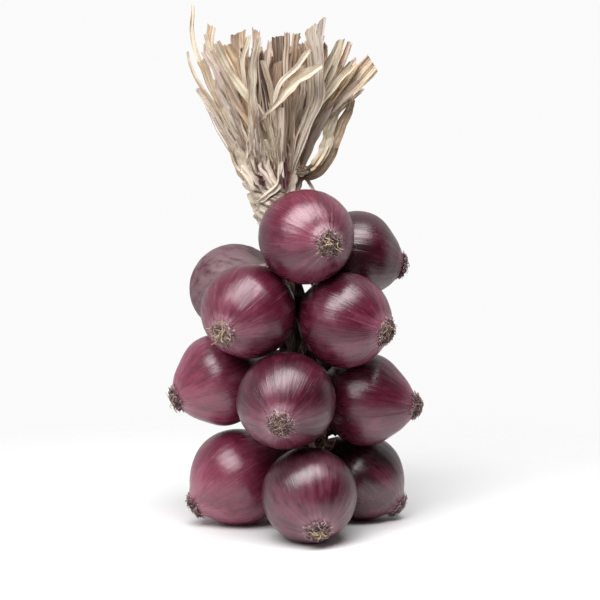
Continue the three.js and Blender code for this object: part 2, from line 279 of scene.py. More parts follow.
def piece(name, points, faces, material, slot, replaced=(), attributes=None, crease=None):
    """A named mesh object from points in millimetres and lists of faces, riding on the root.
    Faces that meet at more than the crease, in degrees, keep a sharp edge."""
    mesh = bpy.data.meshes.new(name)
    mesh.from_pydata((points * MM).tolist(), [], faces)
    mesh.polygons.foreach_set("use_smooth", np.ones(len(mesh.polygons), bool))
    for key, values in (attributes or {}).items():
        kind, field = ("FLOAT_VECTOR", "vector") if values.ndim == 2 else ("FLOAT", "value")
        attribute = mesh.attributes.new(key, kind, "POINT")
        attribute.data.foreach_set(field, values.astype(np.float32).ravel())
    if crease is not None:
        mesh.set_sharp_from_angle(angle=math.radians(crease))
    mesh.materials.append(material)
    obj = add_object(name, mesh)
    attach(obj, "root")
    if replaced:
        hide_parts(*replaced)


# ---- Shader writing ---------------------------------------------------------------------


def rgb(red, green, blue):
    """A linear colour from screen values of 0 to 255."""
    srgb = np.array([red, green, blue]) / 255
    linear = np.where(srgb <= 0.04045, srgb / 12.92, ((srgb + 0.055) / 1.055) ** 2.4)
    return (*linear.tolist(), 1.0)


class Wire:
    """An output socket. Sums, differences and products add Math nodes."""

    def __init__(self, shader, socket):
        self.shader, self.socket = shader, socket

    def _math(self, operation, a, b):
        return self.shader.node("ShaderNodeMath", {"operation": operation}, {0: a, 1: b})

    def __add__(self, other):
        return self._math("ADD", self, other)

    __radd__ = __add__

    def __sub__(self, other):
        return self._math("SUBTRACT", self, other)

    def __rsub__(self, other):
        return self._math("SUBTRACT", other, self)

    def __mul__(self, other):
        return self._math("MULTIPLY", self, other)

    __rmul__ = __mul__


class Shader:
    """The node tree of a material or the world, emptied."""

    def __init__(self, owner):
        owner.use_nodes = True
        self.tree = owner.node_tree
        self.tree.nodes.clear()

    def node(self, kind, settings=None, inputs=None, output=0):
        """Adds a node, sets its settings, then its input values or links. Gives an output."""
        node = self.tree.nodes.new(kind)
        for key, value in (settings or {}).items():
            setattr(node, key, value)
        for key, value in (inputs or {}).items():
            if isinstance(value, Wire):
                self.tree.links.new(value.socket, node.inputs[key])
            else:
                node.inputs[key].default_value = value
        return Wire(self, node.outputs[output]) if node.outputs else None

    def attribute(self, name, output="Fac"):
        """The mesh's attribute of that name, as a number or a vector."""
        return self.node("ShaderNodeAttribute", {"attribute_name": name}, output=output)

    def numbers(self, *names):
        """The mesh's attributes of those names, each a number."""
        return [self.attribute(name) for name in names]

    def noise(self, vector, scale, detail=2.0, roughness=0.5):
        """Noise between 0 and 1, about 0.5 on average."""
        return self.node("ShaderNodeTexNoise", None, {
            "Vector": vector, "Scale": scale, "Detail": detail, "Roughness": roughness})

    def fibres(self, vector, factors, detail=2.0, roughness=0.5):
        """Noise at the vector with each axis multiplied by its factor, which makes streaks."""
        place = self.node(
            "ShaderNodeVectorMath", {"operation": "MULTIPLY"}, {0: vector, 1: factors})
        return self.noise(place, 1.0, detail, roughness)

    def rise(self, value, low, high, to_low=0.0, to_high=1.0):
        """A smooth change from to_low to to_high as the value goes from low to high."""
        return self.node(
            "ShaderNodeMapRange", {"interpolation_type": "SMOOTHSTEP"},
            {"Value": value, 1: low, 2: high, 3: to_low, 4: to_high})

    def near(self, value, middle, spread):
        """1 where the value is the middle one, and 0 from the spread on."""
        away = self.node("ShaderNodeMath", {"operation": "ABSOLUTE"}, {0: value - middle})
        return self.rise(away, 0.0, spread, 1.0, 0.0)

    def mix(self, factor, a, b):
        """A colour between a and b."""
        return self.node("ShaderNodeMix", {"data_type": "RGBA"}, {0: factor, 6: a, 7: b}, output=2)

    def ladder(self, value, colour, *rungs):
        """A colour that changes to each rung's as the value rises. A rung is the values
        between which it changes, and the screen values of its red, green and blue."""
        for low, high, *shade in rungs:
            colour = self.mix(self.rise(value, low, high), colour, rgb(*shade))
        return colour

    def bump(self, height, strength, distance):
        """A normal tilted by the height, with the distance in metres."""
        return self.node("ShaderNodeBump", None, {
            "Height": height, "Strength": strength, "Distance": distance})

    def surface(self, **sockets):
        """A Principled shader, its sockets named with _ for a space, joined to the output."""
        inputs = {key.replace("_", " "): value for key, value in sockets.items()}
        shader = self.node("ShaderNodeBsdfPrincipled", None, inputs)
        self.node("ShaderNodeOutputMaterial", None, {"Surface": shader})


def blank_material(name):
    """A new material and the shader to write it with."""
    material = bpy.data.materials.new(name)
    return material, Shader(material)


# ---- Materials --------------------------------------------------------------------------


def onion_skin():
    """Thin, satin, burgundy skin with fine streaks that run from the root to the neck. The
    attribute "vein" is (cos, sin, place from root to neck) around the bulb's own axis, "end"
    is below 0 on the root plate, 1 at the neck and 2 at the stalk's end, and "tone" and "dry"
    are the bulb's own."""
    material, s = blank_material("onion_skin")
    vein = s.attribute("vein", "Vector")
    end, tone, dry = s.numbers("end", "tone", "dry")

    # Streaks and patches, from broad to fine.
    broad = s.fibres(vein, (1.6, 1.6, 2.6))
    cloud = s.fibres(vein, (5, 5, 9), 4.0, 0.65)
    band = s.fibres(vein, (6, 6, 0.5), 2.0, 0.6)
    fibre = s.fibres(vein, (38, 38, 1.0), 3.0, 0.75)
    thread = s.fibres(vein, (95, 95, 1.8), 2.0, 0.7)
    crossing = s.fibres(vein, (11, 11, 0.4), 1.0)
    line = s.near(crossing, 0.5, 0.016) * s.rise(cloud + fibre * 0.3, 0.55, 0.75)
    near_root = s.rise(end, 0.28, 0.0)
    place = s.node("ShaderNodeTexCoord", output="Object")
    mottle = s.noise(place, 520.0, 3.0, 0.65)

    # From dark to pink by depth, then pale streaks and thin veins over it.
    depth = (broad - 0.5) * 0.9 + (cloud - 0.5) * 0.5 + (band - 0.5) * 0.12
    depth = depth + (fibre - 0.5) * 0.18 + (thread - 0.5) * 0.22 + tone * 0.55 + 0.2
    # Pinker towards the root and darker towards the neck: as the roots hang low, this paints light
    # on the lower halves and shade on the tops.
    depth = depth + s.rise(end, 1.0, 0.0, -0.2, 0.2) + (mottle - 0.5) * 0.3
    colour = s.ladder(depth, rgb(52, 9, 24), (0.0, 0.5, 92, 20, 46), (0.4, 0.95, 140, 56, 82))
    streak = s.rise(fibre * 0.5 + thread * 0.7, 0.58, 0.8) * (near_root * 0.3 + tone * 0.15)
    colour = s.mix(streak, colour, rgb(172, 98, 122))
    colour = s.mix(line * (0.1 + tone * 0.45), colour, rgb(182, 100, 124))
    # A torn outer layer, a dull bloom, worn skin at the root, the root plate and the stalk.
    torn = broad + (fibre - 0.5) * 0.22 + (cloud - 0.5) * 0.25 + s.rise(end, 0.5, 0.0) * 0.16
    layer = s.rise(torn, 0.635, 0.655)
    colour = s.mix(layer * (0.12 + tone * 0.2), colour, rgb(152, 84, 106))
    bloom = s.rise(cloud * 0.7 + broad * 0.5 + dry * 0.12, 0.52, 0.78) * (0.08 + dry * 0.85)
    colour = s.mix(bloom, colour, rgb(121, 96, 100))
    worn = s.rise(fibre * 0.6 + cloud * 0.5, 0.42, 0.66) * s.rise(end, 0.11, 0.005)
    colour = s.mix(worn * 0.6, colour, rgb(168, 124, 134))
    colour = s.mix(s.rise(end, 0.0, -0.01), colour, rgb(92, 66, 66))
    straw = s.mix(s.rise(fibre, 0.35, 0.65), rgb(58, 44, 40), rgb(118, 100, 86))
    colour = s.mix(s.rise(end + band * 0.25, 1.0, 1.2), colour, straw)

    height = fibre * 0.55 + band * 0.9 + thread * 0.3 + cloud * 0.45
    s.surface(
        Base_Color=colour,
        Roughness=s.rise(end, 0.95, 1.15, 0.0, 0.3) + fibre * 0.14 + dry * 0.35 + 0.19,
        Normal=s.bump(height, 0.5, 0.0006),
        Specular_IOR_Level=0.95,
        Specular_Tint=(1.0, 0.94, 0.96, 1.0),
    )
    return material


def dried_leaf(name, gloom, dusk=(106, 84, 78)):
    """Matt, ribbed, sun-dried leaf. The attribute "grain" is (across, along, leaf number) in
    millimetres, "tone" runs from 0 cream to 1 dusk, a dark colour, "edge" is 1 at the cut
    edges, and "blush" is 1 where burgundy skin is left. Gloom makes all of it darker."""
    material, s = blank_material(name)
    grain = s.attribute("grain", "Vector")
    tone, edge, blush = s.numbers("tone", "edge", "blush")

    fibre = s.fibres(grain, (1.1, 0.025, 3.1), 3.0, 0.62)
    streak = s.fibres(grain, (0.45, 0.01, 1.7), 3.0, 0.6)
    patch = s.fibres(grain, (0.08, 0.03, 5.3))
    fleck = s.fibres(grain, (0.7, 0.16, 2.3), 2.0, 0.6)
    kind = s.fibres(grain, (0.02, 0.004, 9.1), 1.0)

    # From cream to dusk and nearly black by depth.
    depth = tone + (streak - 0.5) * 1.1 + (patch - 0.5) * 0.5 + (fibre - 0.5) * 1.35 + gloom
    pinker = s.rise(kind, 0.35, 0.65)
    cream = s.mix(pinker, rgb(232, 219, 197), rgb(229, 214, 203))
    tan = s.mix(pinker, rgb(211, 185, 149), rgb(202, 175, 154))
    colour = s.mix(s.rise(depth, 0.0, 0.38), cream, tan)
    colour = s.ladder(depth, colour, (0.32, 0.75, 166, 144, 126), (0.7, 1.1, *dusk),
                      (1.1, 1.5, 44, 37, 34))
    # Rusty edges, thin seams, flecks and burgundy skin over it.
    rust = s.rise(edge + streak * 0.5, 0.85, 1.25) * s.rise(patch, 0.42, 0.6)
    colour = s.mix(rust * 0.6, colour, rgb(168, 120, 80))
    seam = s.near(streak, 0.5, 0.02) * s.rise(patch, 0.45, 0.6)
    colour = s.mix(seam * 0.6, colour, rgb(140, 104, 76))
    colour = s.mix(s.rise(fleck, 0.62, 0.78) * 0.35, colour, rgb(112, 86, 66))
    colour = s.mix(blush * s.rise(streak + fibre * 0.4, 0.5, 0.85), colour, rgb(78, 34, 46))
    height = fibre * 0.9 + streak * 1.6 + fleck * 0.3
    s.surface(
        Base_Color=colour,
        Roughness=0.6 + fibre * 0.25,
        Normal=s.bump(height, 0.8, 0.001),
        Specular_IOR_Level=0.35,
    )
    return material


def root_hair():
    """Dry root: "tone" runs from 0 cream yellow to 1 dark purple-brown."""
    material, s = blank_material("root_hair")
    place = s.node("ShaderNodeTexCoord", output="Object")
    speck = s.noise(place, 900.0)
    depth = s.attribute("tone") + (speck - 0.5) * 0.5
    colour = s.ladder(depth, rgb(216, 198, 158), (0.05, 0.4, 182, 150, 146),
                      (0.4, 0.95, 62, 40, 46))
    s.surface(Base_Color=colour, Roughness=0.75, Normal=s.bump(speck, 0.4, 0.0003))
    return material


def skin_flake():
    """Papery shreds of outer skin: "tone" runs from 0 pale pinkish grey to 1 burgundy."""
    material, s = blank_material("skin_flake")
    grain = s.attribute("grain", "Vector")
    fibre = s.fibres(grain, (2.4, 0.3, 1.9), 3.0, 0.6)
    depth = s.attribute("tone") + (fibre - 0.5) * 0.7
    colour = s.ladder(depth, rgb(196, 168, 174), (0.05, 0.5, 154, 110, 124),
                      (0.45, 0.95, 74, 34, 46))
    s.surface(Base_Color=colour, Roughness=0.5, Normal=s.bump(fibre, 0.4, 0.0004))
    return material


# ---- Bulbs ------------------------------------------------------------------------------


def bulb_reach(onion, angle):
    """Distance from the bulb's middle to its skin at an angle from the root: the radius, drawn
    out at the neck and pulled in at the shoulder by bell curves, and drawn out at the root by
    a flat-topped one."""
    nub = onion.nub * np.exp(-((angle / NUB_SPREAD) ** 4))
    dip = onion.dip * bell(angle, DIP_ANGLE, DIP_SPREAD)
    neck = NECK_RISE * bell(angle, math.pi, NECK_SPREAD)
    return onion.radius * (1 + nub - dip + neck)


def complete(onion, number):
    """Works out the bulb's middle and its axes. One on the table stands as high as its skin
    reaches down, less the flat spot."""
    onion.number = number
    onion.standing = onion.height is None
    if onion.standing:
        angle = np.radians(np.arange(91))
        depths = bulb_reach(onion, angle) * np.sin(angle + math.radians(onion.droop))
        onion.height = depths.max() - FLAT
    onion.middle = stem_at(onion.height) + onion.reach * heading(onion.bearing)
    onion.axis = heading(onion.root, onion.droop)
    onion.side = unit(np.cross(onion.axis, [0.0, 0.0, 1.0]))
    onion.over = np.cross(onion.axis, onion.side)


# Swells go around a bulb twice and three times, and one that tips it goes around once. Each of
# the ribs is a sine that goes around between 7 and 33 times. Depths are parts of the radius.
SWELLS, SWELL_DEPTH, TIP_DEPTH = (2, 3), 0.004, 0.008
RIB_COUNT, RIB_DEPTH, RIBS_AROUND = 14, 0.001, (7, 34)

# How many rings the root plate, the bulb and the stalk have, and how many points a ring.
PLATE_ROWS, BULB_ROWS, STALK_ROWS, BULB_COLS = 10, 84, 26, 120
WRINKLES = [(3, 0.16), (5, 0.10), (9, 0.07)]  # how many go around the stalk, and their depths
# The root plate is a pad of this height and about this radius, and it is domed out to the cap's.
PAD_HEIGHT, PAD_RADIUS, CAP_RADIUS = 1.5, 8.0, 8.2
ON_PLATE = -0.02  # the attribute "end" on the root plate
BULB_APART = 7.3  # the distance between two bulbs in the noise of their skin


def cap_height(onion, out):
    """How far the root plate stands out at a distance from its middle: a shallow paraboloid."""
    return onion.cap * np.maximum(1 - (out / CAP_RADIUS) ** 2, 0)


def root_plate(onion, rim, turn, rng):
    """Rings of the root plate, from its middle out to the bulb's first ring: the cap, and a pad
    whose height is 1 less the tenth power of the part of the way out, with lumps that are sums
    of sines."""
    part = np.linspace(0.1, 0.97, PLATE_ROWS)[:, None, None]
    foot = rim.mean(0)
    lumps = waves(rng, np.tile(turn / TAU, (PLATE_ROWS, 1)), 3, 11, 5)[..., None]
    lift = PAD_HEIGHT * (1 - part**10) * (1 + 0.3 * lumps)
    lift = lift + cap_height(onion, CAP_RADIUS * part)
    rings = foot + (rim - foot) * part * (1 + 0.02 * lumps) + onion.axis * lift
    return rings, rings[0].mean(0) + onion.axis * 0.1


def bulb_rings(onion, latitude, turn, around, rng):
    """Rings of the bulb: its outline turned about its axis, times 1 plus slow swells and fine
    ribs, which are sines around the axis that wander a little from root to neck."""
    swell = np.zeros((len(latitude), len(turn)))
    for k in SWELLS:
        swell += SWELL_DEPTH * np.sin(k * turn + rng.uniform(0, TAU))[None]
    swell += TIP_DEPTH * np.sin(turn + rng.uniform(0, TAU))[None] * np.cos(latitude)[:, None]
    for _ in range(RIB_COUNT):
        wander = rng.uniform(-0.5, 0.5) * np.sin(latitude * rng.uniform(1, 3))[:, None]
        k, size = rng.integers(*RIBS_AROUND), rng.uniform(0.2, 1.0) * RIB_DEPTH
        swell += size * np.sin(k * turn[None] + rng.uniform(0, TAU) + wander)
    distance = bulb_reach(onion, latitude)[:, None] * (1 + swell)
    along, out = distance * np.cos(latitude)[:, None], distance * np.sin(latitude)[:, None]
    return onion.middle + along[..., None] * onion.axis + out[..., None] * around[None]


def stalk_rings(onion, turn, rng):
    """Rings of the dried stalk: a cubic Bezier path from the neck up to the bundle, its
    section wrinkled by three sines that turn as it goes."""
    neck_reach = float(bulb_reach(onion, math.pi - NECK_ANGLE))
    neck = onion.middle - onion.axis * neck_reach * math.cos(NECK_ANGLE)
    join = stem_at(onion.middle[2] + onion.climb)
    climb_way = unit(stem_at(onion.middle[2] + 10) - stem_at(onion.middle[2] - 10))
    span = np.linalg.norm(join - neck)
    t = np.linspace(0, 1, STALK_ROWS + 1)[1:]
    line = cubic(neck, neck - onion.axis * span * 0.4, join - climb_way * span * 0.3, join, t)[0]
    ahead = unit(np.gradient(np.vstack([neck, line]), axis=0)[1:])
    first = unit(onion.side - (ahead @ onion.side)[:, None] * ahead)
    second = np.cross(ahead, first)
    second = np.where((second @ onion.over)[:, None] < 0, -second, second)
    neck_radius = neck_reach * math.sin(NECK_ANGLE)
    girth = neck_radius + (STALK_END_RADIUS - neck_radius) * np.sqrt(t)
    bend = turn[None] + t[:, None] * rng.uniform(-1.5, 1.5)
    phase = rng.uniform(0, TAU, 3)
    wrinkle = sum(
        size * np.sin(k * bend + phase[i] + i * t[:, None])
        for i, (k, size) in enumerate(WRINKLES)
    )
    width = girth[:, None] * (1 + wrinkle * np.minimum(t * 4, 1)[:, None])
    across, up = (width * np.cos(turn))[..., None], (width * np.sin(turn))[..., None]
    return line[:, None] + across * first[:, None] + up * second[:, None], t


def bulb(name, onion, material):
    """One onion as a closed stack of rings around its axis: root plate, bulb and stalk."""
    rng = np.random.default_rng(100 + onion.number)
    turn = np.arange(BULB_COLS) / BULB_COLS * TAU
    across = np.cos(turn)[:, None] * onion.side * onion.wide
    around = across + np.sin(turn)[:, None] * onion.over
    latitude = np.linspace(PLATE_ANGLE, math.pi - NECK_ANGLE, BULB_ROWS)
    skin = bulb_rings(onion, latitude, turn, around, rng)
    plate, centre = root_plate(onion, skin[0], turn, rng)
    stalk, stalk_part = stalk_rings(onion, turn, rng)
    rings = np.concatenate([plate, skin, stalk])
    points = np.vstack([rings.reshape(-1, 3), centre, stalk[-1].mean(0)])
    if onion.standing:
        points = above_table(points, 0)
    poles = len(points) - 2
    faces = tube_faces(len(rings), BULB_COLS)
    faces += pole_faces(len(rings), BULB_COLS, poles, poles + 1)

    body = (latitude - PLATE_ANGLE) / (math.pi - NECK_ANGLE - PLATE_ANGLE)
    end = np.concatenate([np.full(PLATE_ROWS, ON_PLATE), body, 1 + stalk_part])
    ends = np.append(np.repeat(end, BULB_COLS), [ON_PLATE, 2.0])
    circle = np.vstack([np.tile(spokes(turn)[:, :2], (len(rings), 1)), np.zeros((2, 2))])
    piece(
        f"Bulb_{name}", points, outward(points, faces), material, "onion_skin",
        replaced=[f"Onion_{name}"],
        attributes={
            "vein": np.column_stack([circle, ends + onion.number * BULB_APART]),
            "end": ends,
            "tone": np.full(len(points), onion.tone),
            "dry": np.full(len(points), onion.dry),
        },
    )


# ---- Roots ------------------------------------------------------------------------------

HAIR_SIDES = 4  # how many points go around a root hair
ODD_WAY = [0.31, 0.52, 0.79]  # no hair lies this way exactly


def hairs(lines, radii):
    """Thin closed tubes along the lines (n, m, 3). Each tapers by half of its radius times the
    square of the way along, to a pointed tip."""
    n, m, _ = lines.shape
    ahead = unit(np.gradient(lines, axis=1))
    side = unit(np.cross(ahead, ODD_WAY))
    over = np.cross(ahead, side)
    turn = np.arange(HAIR_SIDES) / HAIR_SIDES * TAU
    size = radii[:, None] * (1 - 0.5 * np.linspace(0, 1, m)[None] ** 2)
    rings = lines[:, :, None] + size[..., None, None] * (
        np.cos(turn)[:, None] * side[:, :, None] + np.sin(turn)[:, None] * over[:, :, None])
    tips = lines[:, -1] + ahead[:, -1] * radii[:, None] * 0.6
    block = np.concatenate([rings.reshape(n, -1, 3), lines[:, :1], tips[:, None]], axis=1)
    each = block.shape[1]
    one = tube_faces(m, HAIR_SIDES) + pole_faces(m, HAIR_SIDES, each - 2, each - 1)
    return block.reshape(-1, 3), repeated(outward(block[0], one), n, each)


def on_root(onion, local):
    """Points given by the bulb's side, its over direction and the height over its root plate."""
    height = local[..., 2:] + cap_height(onion, np.linalg.norm(local[..., :2], axis=-1))[..., None]
    plate = float(bulb_reach(onion, PLATE_ANGLE)) * math.cos(PLATE_ANGLE)
    base = onion.middle + onion.axis * (plate + PAD_HEIGHT * 0.7)
    directions = np.stack([onion.side, onion.over, onion.axis])
    return base + np.concatenate([local[..., :2], height], axis=-1) @ directions


def root_lines(rng, onion, kind):
    """Root hairs of one bulb: each starts on the root plate, leans outwards and the way that all
    of them lean, bends over by the square of the way along and coils by sines of it. Those in
    the middle are longer, by the dome times half less the square of the part of the way out."""
    count = kind.count
    turn = rng.uniform(0, TAU, count)
    out = np.sqrt(rng.uniform(kind.ring[0] ** 2, kind.ring[1] ** 2, count))
    flat = spokes(turn)
    lean = flat * (out / PAD_RADIUS)[:, None] * kind.lean + rng.normal(0, 0.5, (count, 3))
    lean[:, :2] += rng.normal(0, kind.together, 2)
    lean[:, 2] = np.abs(lean[:, 2]) * 0.5 + kind.stand
    bend = rng.normal(0, 0.55, (count, 3))
    bend[:, 2] = -np.abs(bend[:, 2]) * 0.9
    size = rng.uniform(*kind.length, count) * (onion.long if kind.is_pale else 1)
    size = (size * (1 + kind.dome * (0.5 - (out / kind.ring[1]) ** 2)))[:, None, None]
    s = np.linspace(0, 1, kind.rows)[None, :, None]
    phase = rng.uniform(0, TAU, (count, 1, 3))
    coils = rng.uniform(0.6, 1.5, (count, 1, 1)) * TAU
    coil = kind.curl * (np.sin(s * coils + phase) - np.sin(phase)) * np.array([1, 1, 0.5])
    local = (flat * out[:, None])[:, None] + size * (
        s * unit(lean)[:, None] + s * s * bend[:, None] + coil)
    # None sinks below the pad, which falls away at its rim.
    floor = -0.2 - np.maximum(np.linalg.norm(local[..., :2], axis=-1) - 7.4, 0) * 0.8
    local[..., 2] = np.maximum(local[..., 2], floor + 0.6 * s[..., 0])
    return above_table(on_root(onion, local), 0.6)


# The two kinds of root hair: how many a bulb has and the points of each, the ring of the root
# plate that they grow from, their lengths and radii, how much they curl, lean outwards, stand
# up and lean one way together, how much longer those in the middle are, the lightest and
# darkest tone, and how much the tone changes towards the tip.
ROOT_KINDS = {
    "Roots_pale": SimpleNamespace(
        is_pale=True, count=24, rows=8, ring=(0, 2.6), length=(2.6, 5.6), girth=(0.3, 0.52),
        curl=0.2, lean=0.4, stand=0.4, together=0.6, dome=0.0, tones=(-0.2, 0.3), tip=0.0),
    "Roots_dark": SimpleNamespace(
        is_pale=False, count=320, rows=6, ring=(2.3, 8.2), length=(1.1, 2.6), girth=(0.2, 0.42),
        curl=0.45, lean=0.3, stand=0.6, together=0.0, dome=1.1, tones=(0.38, 1.0), tip=-0.1),
}


def roots(material):
    """All root hairs as two pieces: pale curled roots in the middle, dark stubs around."""
    for number, (name, kind) in enumerate(ROOT_KINDS.items()):
        rng = np.random.default_rng(50 + number)
        lines = np.concatenate([root_lines(rng, onion, kind) for onion in ONIONS.values()])
        points, faces = hairs(lines, rng.uniform(*kind.girth, len(lines)))
        part = np.append(np.repeat(np.linspace(0, 1, kind.rows), HAIR_SIDES), [0, 1])
        base = rng.uniform(*kind.tones, len(lines))[:, None]
        paler = np.array([0 if kind.is_pale else onion.pale for onion in ONIONS.values()])
        own = rng.uniform(-0.15, 0.15, len(ONIONS)) - paler
        base = np.maximum(base + np.repeat(own, kind.count)[:, None], kind.tones[0])
        tip = kind.tip * rng.uniform(0, 2, (len(lines), 1)) * part[None] ** 2
        piece(name, points, faces, material, "onion_skin",
              attributes={"tone": (base + tip).reshape(-1)})


# ---- Ribbons: leaves, ties and flakes ---------------------------------------------------


def lengths(lines):
    """The length of each line, ready to multiply arrays of (ribbon, row, column)."""
    return np.linalg.norm(np.diff(lines, axis=1), axis=-1).sum(1).reshape(-1, 1, 1)


def crinkled(rng, lines, size):
    """The lines swayed by the size times slow sines of the way along and weaker quick ones,
    not at all at the foot."""
    s = steps(*lines.shape[:2])
    slow, quick = sway(rng, s, 0.5, 1.6, 2), sway(rng, s, 2, 6, 3)
    return lines + (slow + 0.4 * quick) * smooth_step(0, 0.6, s)[..., None] * size


# The sines that crumple a leaf: their frequencies along and across it, and their shares.
PLEATS = [(0.04, 3.0, 0.5), (0.12, 2.0, 0.6), (0.5, 1.0, 0.35), (0.9, -0.7, 0.25)]
RIBBON_APART = 3.7  # the distance between two ribbons in the noise of their grain


def each_one(values, count):
    """A value for each ribbon, ready to multiply arrays of (ribbon, row, column)."""
    return np.broadcast_to(values, count).reshape(count, 1, 1)


def ribbon_axes(lines, facing, twist):
    """The ways ahead, across and out of the ribbons at each row. Across is square to the line
    and to facing, out is square to both, and the twist turns these two about the line."""
    ahead = unit(np.gradient(lines, axis=1))
    side = unit(np.cross(ahead, np.broadcast_to(facing, lines.shape)))
    out = np.cross(side, ahead)
    angle = np.broadcast_to(twist, lines.shape[:2])[..., None]
    turned = np.cos(angle) * side + np.sin(angle) * out
    return ahead, turned, np.cos(angle) * out - np.sin(angle) * side


def ribbon_faces(rows, across):
    """Quads of a closed ribbon: a tube whose rings run across the upper side and back along the
    lower one, and its two ends, closed from side to side."""
    cols = 2 * across
    last = (rows - 1) * cols
    faces = tube_faces(rows, cols)
    for c in range(across - 1):
        under = cols - 1 - c
        faces.append((c + 1, c, under, under - 1))
        faces.append((last + c, last + c + 1, last + under - 1, last + under))
    return faces


def ribbons(lines, facing, width, rng, cup=0.2, crease=0.2, ragged=0.06, twist=0.0,
            jag=0.03, thickness=0.35, across=7, crumple=0.0, rib=0.0, slant=0.0):
    """Closed strips of dried leaf along the lines (n, m, 3), broad side towards facing. Across
    a strip, u from -1 to 1, the leaf is lifted by cup u^2 + crease |u - fold|, a small wave and
    random ribs, all times half its width, and by the crumple in millimetres times the pleats,
    sines of the distances across and along. The far end is cut aslant and torn: it slides back
    by the eighth power of the way along."""
    n, m, _ = lines.shape
    each = (n, 1, 1)
    ahead, side, out = ribbon_axes(lines, facing, twist)
    u = np.linspace(-1, 1, across)
    s = np.broadcast_to(np.linspace(0, 1, m), (n, m))
    half = np.broadcast_to(width, (n, m))[..., None] / 2
    left, right = (1 + ragged * waves(rng, s, 1, 6, 3)[..., None] for _ in range(2))
    x = half * u * np.where(u < 0, left, right)
    cup = each_one(cup, n) * rng.uniform(0.3, 1.4, each)
    crease = each_one(crease, n) * rng.uniform(-1, 1.2, each)
    fold = rng.uniform(-0.4, 0.4, each) + 0.25 * waves(rng, s, 0.3, 1, 1)[..., None]
    phase = rng.uniform(0, TAU, each) + s[..., None] * rng.uniform(-6, 6, each)
    ripple = 0.1 * np.sin(u * rng.uniform(4, 8, each) + phase)
    ribs = each_one(rib, n) * rng.normal(0, 1, (n, 1, across))
    ribs = ribs * (1 + 0.5 * waves(rng, s, 0.5, 2, 2)[..., None])
    lift = half * (cup * u * u + crease * np.abs(u - fold) + ripple + ribs)
    length = lengths(lines)
    for along, aside, share in PLEATS:
        way = (s[..., None] * length * along + x * aside) * rng.uniform(0.6, 1.4, each)
        lift = lift + crumple * share * np.sin(way + rng.uniform(0, TAU, each))
    tear = rng.uniform(0, 1, (n, 1, across)) ** 2 * each_one(jag, n)
    slant = each_one(slant, n) + rng.uniform(-0.5, 0.5, each)
    tear = tear + slant * u * half[:, -1:] / length
    slide = -tear * length * s[..., None] ** 8
    body = lines[:, :, None] + side[:, :, None] * x[..., None]
    body = body + ahead[:, :, None] * slide[..., None]
    upper = body + out[:, :, None] * (lift + thickness / 2)[..., None]
    lower = body + out[:, :, None] * (lift - thickness / 2)[..., None]
    cols = 2 * across
    block = np.concatenate([upper, lower[:, :, ::-1]], axis=2).reshape(n, m * cols, 3)

    shape = (n, m, cols)
    travel = np.broadcast_to(s[..., None] * length, shape)
    both = np.concatenate([x, x[..., ::-1]], axis=2)
    number = np.broadcast_to(np.arange(n).reshape(each) * RIBBON_APART, shape)
    edge = np.broadcast_to(np.abs(np.concatenate([u, u[::-1]])), shape)
    return SimpleNamespace(
        points=block.reshape(-1, 3),
        faces=repeated(outward(block[0], ribbon_faces(m, across)), n, m * cols),
        grain=np.stack([both, travel, number], -1).reshape(-1, 3),
        edge=edge.reshape(-1), rows=m, cols=cols, count=n)


def ribbon_piece(name, made, tone, blush, material, slot, replaced=()):
    """A piece of ribbons. Its tone and blush are given once, for each ribbon or for each row
    of each ribbon."""
    def all_points(values):
        """The values for every point, the same all across a row."""
        if np.ndim(values) == 1:
            values = values[:, None]
        return np.repeat(np.broadcast_to(values, (made.count, made.rows)), made.cols)

    attributes = {
        "grain": made.grain,
        "edge": made.edge,
        "tone": all_points(tone),
        "blush": all_points(blush),
    }
    piece(name, made.points, made.faces, material, slot, replaced, attributes, crease=22)


# Loose flakes of skin between the upper bulbs, and how far each reaches from its middle.
FLAKE_REACH = 2.6
FLAKES = [(-21, -24, 180.5), (-18.5, -25.5, 178), (-15.5, -27, 176), (-12.5, -27.5, 174.5)]


def skin_shreds(material):
    """Papery shreds of skin around each root plate, most of them curling in over it, and a few
    loose flakes."""
    rng = np.random.default_rng(31)
    count, rows = 100, 5
    lines, facing = [], []
    for onion in ONIONS.values():
        turn = rng.uniform(0, TAU, count)
        start = rng.uniform(6.4, 8.8, count)
        run = rng.uniform(1.2, 3.8, count)[:, None] * np.linspace(0, 1, rows)
        inward = rng.choice([-1, 1], count, p=[0.6, 0.4])[:, None]
        out = start[:, None] + inward * run * 0.8
        # Each starts on the pad, or past its rim on the skin, and lifts as it runs.
        height = -0.3 - np.maximum(out - 7.2, 0) * 0.7 + run * rng.uniform(0.15, 0.55, (count, 1))
        swing = turn[:, None] + run * rng.uniform(-0.06, 0.06, (count, 1))
        local = np.stack([np.cos(swing) * out, np.sin(swing) * out, height], -1)
        lines.append(above_table(on_root(onion, local), 0.7))
        facing.append(onion.axis + rng.normal(0, 0.3, (count, 3)))
    way = unit(rng.normal(0, 1, (len(FLAKES), 3)))[:, None]
    loose = way * np.linspace(-FLAKE_REACH, FLAKE_REACH, rows)[:, None]
    lines.append(np.array(FLAKES, float)[:, None] + loose)
    facing.append(np.tile([0.0, -1.0, 0.3], (len(FLAKES), 1)))
    lines, facing = np.concatenate(lines), unit(np.concatenate(facing))[:, None]
    width = rng.uniform(0.6, 2.2, (len(lines), 1)) * np.linspace(1, 0.4, rows)
    made = ribbons(lines, facing, width, rng, cup=0.5, crease=0.5, ragged=0.25, jag=0.3,
                   thickness=0.16, across=3)
    tone = rng.uniform(-0.3, 0.8, len(lines))
    tone[-len(FLAKES):] = 0.1
    ribbon_piece("Skin_shreds", made, tone, 0.0, material, "onion_skin")


# ---- Stalk bundle -----------------------------------------------------------------------


